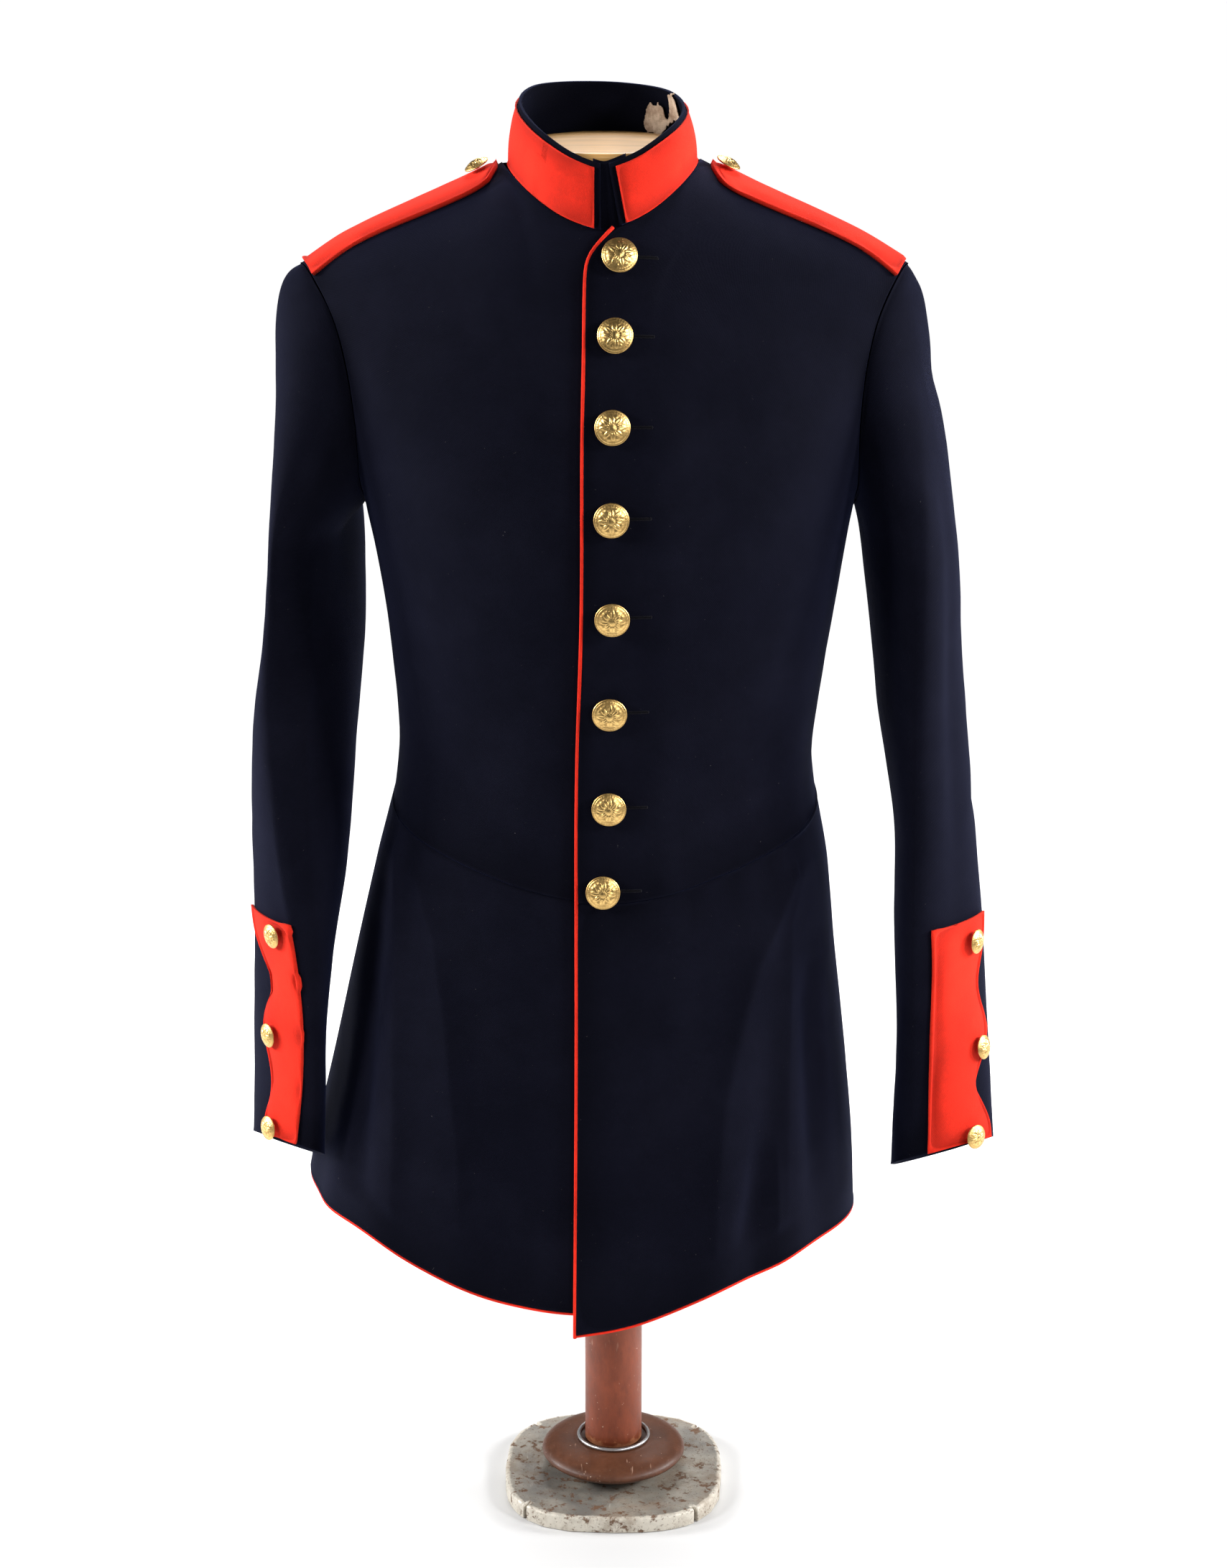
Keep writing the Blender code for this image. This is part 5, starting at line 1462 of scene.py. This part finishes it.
# Lamps: place, what it points at, size, spread in degrees and the setting with its power.
LAMPS = (
    ((-2.5, -1.2, 1.9), (0.0, 0.0, 0.6), 0.7, 60, "right"),
    ((2.5, -1.2, 1.9), (0.0, 0.0, 0.6), 0.6, 60, "left"),
    ((1.5, -2.5, 1.7), (0.0, 0.0, 0.5), 1.2, 60, "front"),
    ((0.2, 1.9, 3.0), (0.0, 0.0, 0.8), 1.4, 60, "back"),
    ((-2.6, 0.35, 1.4), (0.0, 0.0, 0.7), 1.0, 60, "rims"),
    ((2.6, 0.35, 1.4), (0.0, 0.0, 0.7), 1.0, 60, "rims"),
)

# The floor, in metres: it glows from one y to the next, except round a long shade whose middle
# lies behind the pole, where the glow and the paint come in between two distances each.
GLOW_Y = (-0.9, -0.1)
SHADE_MIDDLE = 0.15
SHADE_STRETCH = (1.0, 0.4, 0.0)
SHADE_GLOW = (0.14, 0.45)
SHADE_PAINT = (0.08, 0.17)
SHADE_TONE = 0.72


def floor_material(settings):
    """Pale floor paint that glows behind the object."""
    material, shader, spot, _ = new_material("floor_paint")
    pale = tuple(settings.floor)
    base = blend(noise_at(spot, 2.0), pale, toned(pale, 0.985))
    behind = remap(split(spot)[1], *GLOW_Y)
    shifted = result(spot.tree, "VectorMath", {0: spot, 1: (0.0, -SHADE_MIDDLE, 0.0)},
                     operation="ADD")
    far = result(spot.tree, "VectorMath", {0: scaled(shifted, *SHADE_STRETCH)}, "Value",
                 operation="LENGTH")
    base = blend(remap(far, *SHADE_PAINT), toned(pale, SHADE_TONE), base)
    glow = blend(behind * remap(far, *SHADE_GLOW), (0.0, 0.0, 0.0), (1.0, 1.0, 1.0))
    spot.tree.links.new(glow.socket, shader.inputs["Emission Color"])
    finish_with(shader, base, 0.8, Specular_IOR_Level=0.1, Emission_Strength=settings.glow)
    return material


class TUNIC_OT_stage(bpy.types.Operator):
    """Build the floor, the lamps and the camera"""
    bl_idname = "tunic.stage"
    bl_label = "Stage"

    def execute(self, context):
        settings, linked = context.scene.tunic_stage, context.scene.collection.objects
        bm = bmesh.new()
        bmesh.ops.create_grid(bm, x_segments=8, y_segments=8, size=30.0)
        floor = bpy.data.objects.new("floor", mesh_from(bm, "floor"))
        floor.data.materials.append(floor_material(settings))
        floor.location.z = CAD_BOX[0][2] - 0.2 * MM
        linked.link(floor)
        for number, (spot, target, size, spread, power) in enumerate(LAMPS, 1):
            light = bpy.data.lights.new(f"lamp_{number}", "AREA")
            light.energy, light.size = getattr(settings, power), size
            light.spread = math.radians(spread)
            lamp = bpy.data.objects.new(f"lamp_{number}", light)
            lamp.location = spot
            beam = Vector(target) - Vector(spot)
            lamp.rotation_euler = beam.to_track_quat("-Z", "Y").to_euler()
            linked.link(lamp)
        world = bpy.data.worlds.new("studio")
        context.scene.world = world
        world.use_nodes = True
        back = world.node_tree.nodes["Background"]
        back.inputs["Color"].default_value = (1, 1, 1, 1)
        back.inputs["Strength"].default_value = settings.sky
        camera = bpy.data.cameras.new("camera")
        camera.lens, camera.sensor_width, camera.sensor_fit = CAMERA_LENS, 36.0, "AUTO"
        holder = bpy.data.objects.new("camera", camera)
        holder.location = CAMERA_PLACE
        holder.rotation_euler = (math.radians(90 - CAMERA_DOWN), 0, 0)
        linked.link(holder)
        context.scene.camera = holder
        context.scene.view_settings.view_transform = "Standard"
        return {"FINISHED"}


# --------------------------------------------------------------------------------- add-on

class TUNIC_PT_panel(bpy.types.Panel):
    """Lists the settings and the steps in order"""
    bl_idname = "TUNIC_PT_panel"
    bl_label = "Dress Tunic"
    bl_space_type = "VIEW_3D"
    bl_region_type = "UI"
    bl_category = "Tunic"

    def draw(self, context):
        for name in SETTINGS:
            box = self.layout.box()
            holder = getattr(context.scene, name)
            for key in holder.__annotations__:
                box.prop(holder, key)
        for operator in OPERATORS:
            self.layout.operator(operator.bl_idname)


OPERATORS = (TUNIC_OT_body, TUNIC_OT_sleeves, TUNIC_OT_cuffs, TUNIC_OT_collar, TUNIC_OT_lining,
             TUNIC_OT_straps, TUNIC_OT_piping, TUNIC_OT_buttons, TUNIC_OT_buttonholes,
             TUNIC_OT_form, TUNIC_OT_stand, TUNIC_OT_stage)
SETTINGS = {"tunic_cloth": ClothSettings, "tunic_buttons": ButtonSettings,
            "tunic_stand": StandSettings, "tunic_stage": StageSettings}


def register():
    for kind in (*SETTINGS.values(), *OPERATORS, TUNIC_PT_panel):
        bpy.utils.register_class(kind)
    for name, kind in SETTINGS.items():
        setattr(bpy.types.Scene, name, bpy.props.PointerProperty(type=kind))


def unregister():
    for name in SETTINGS:
        delattr(bpy.types.Scene, name)
    for kind in reversed((*SETTINGS.values(), *OPERATORS, TUNIC_PT_panel)):
        bpy.utils.unregister_class(kind)


def main():
    register()
    for operator in OPERATORS:
        getattr(bpy.ops.tunic, operator.bl_idname.split(".")[1])()


if __name__ == "__main__":
    main()
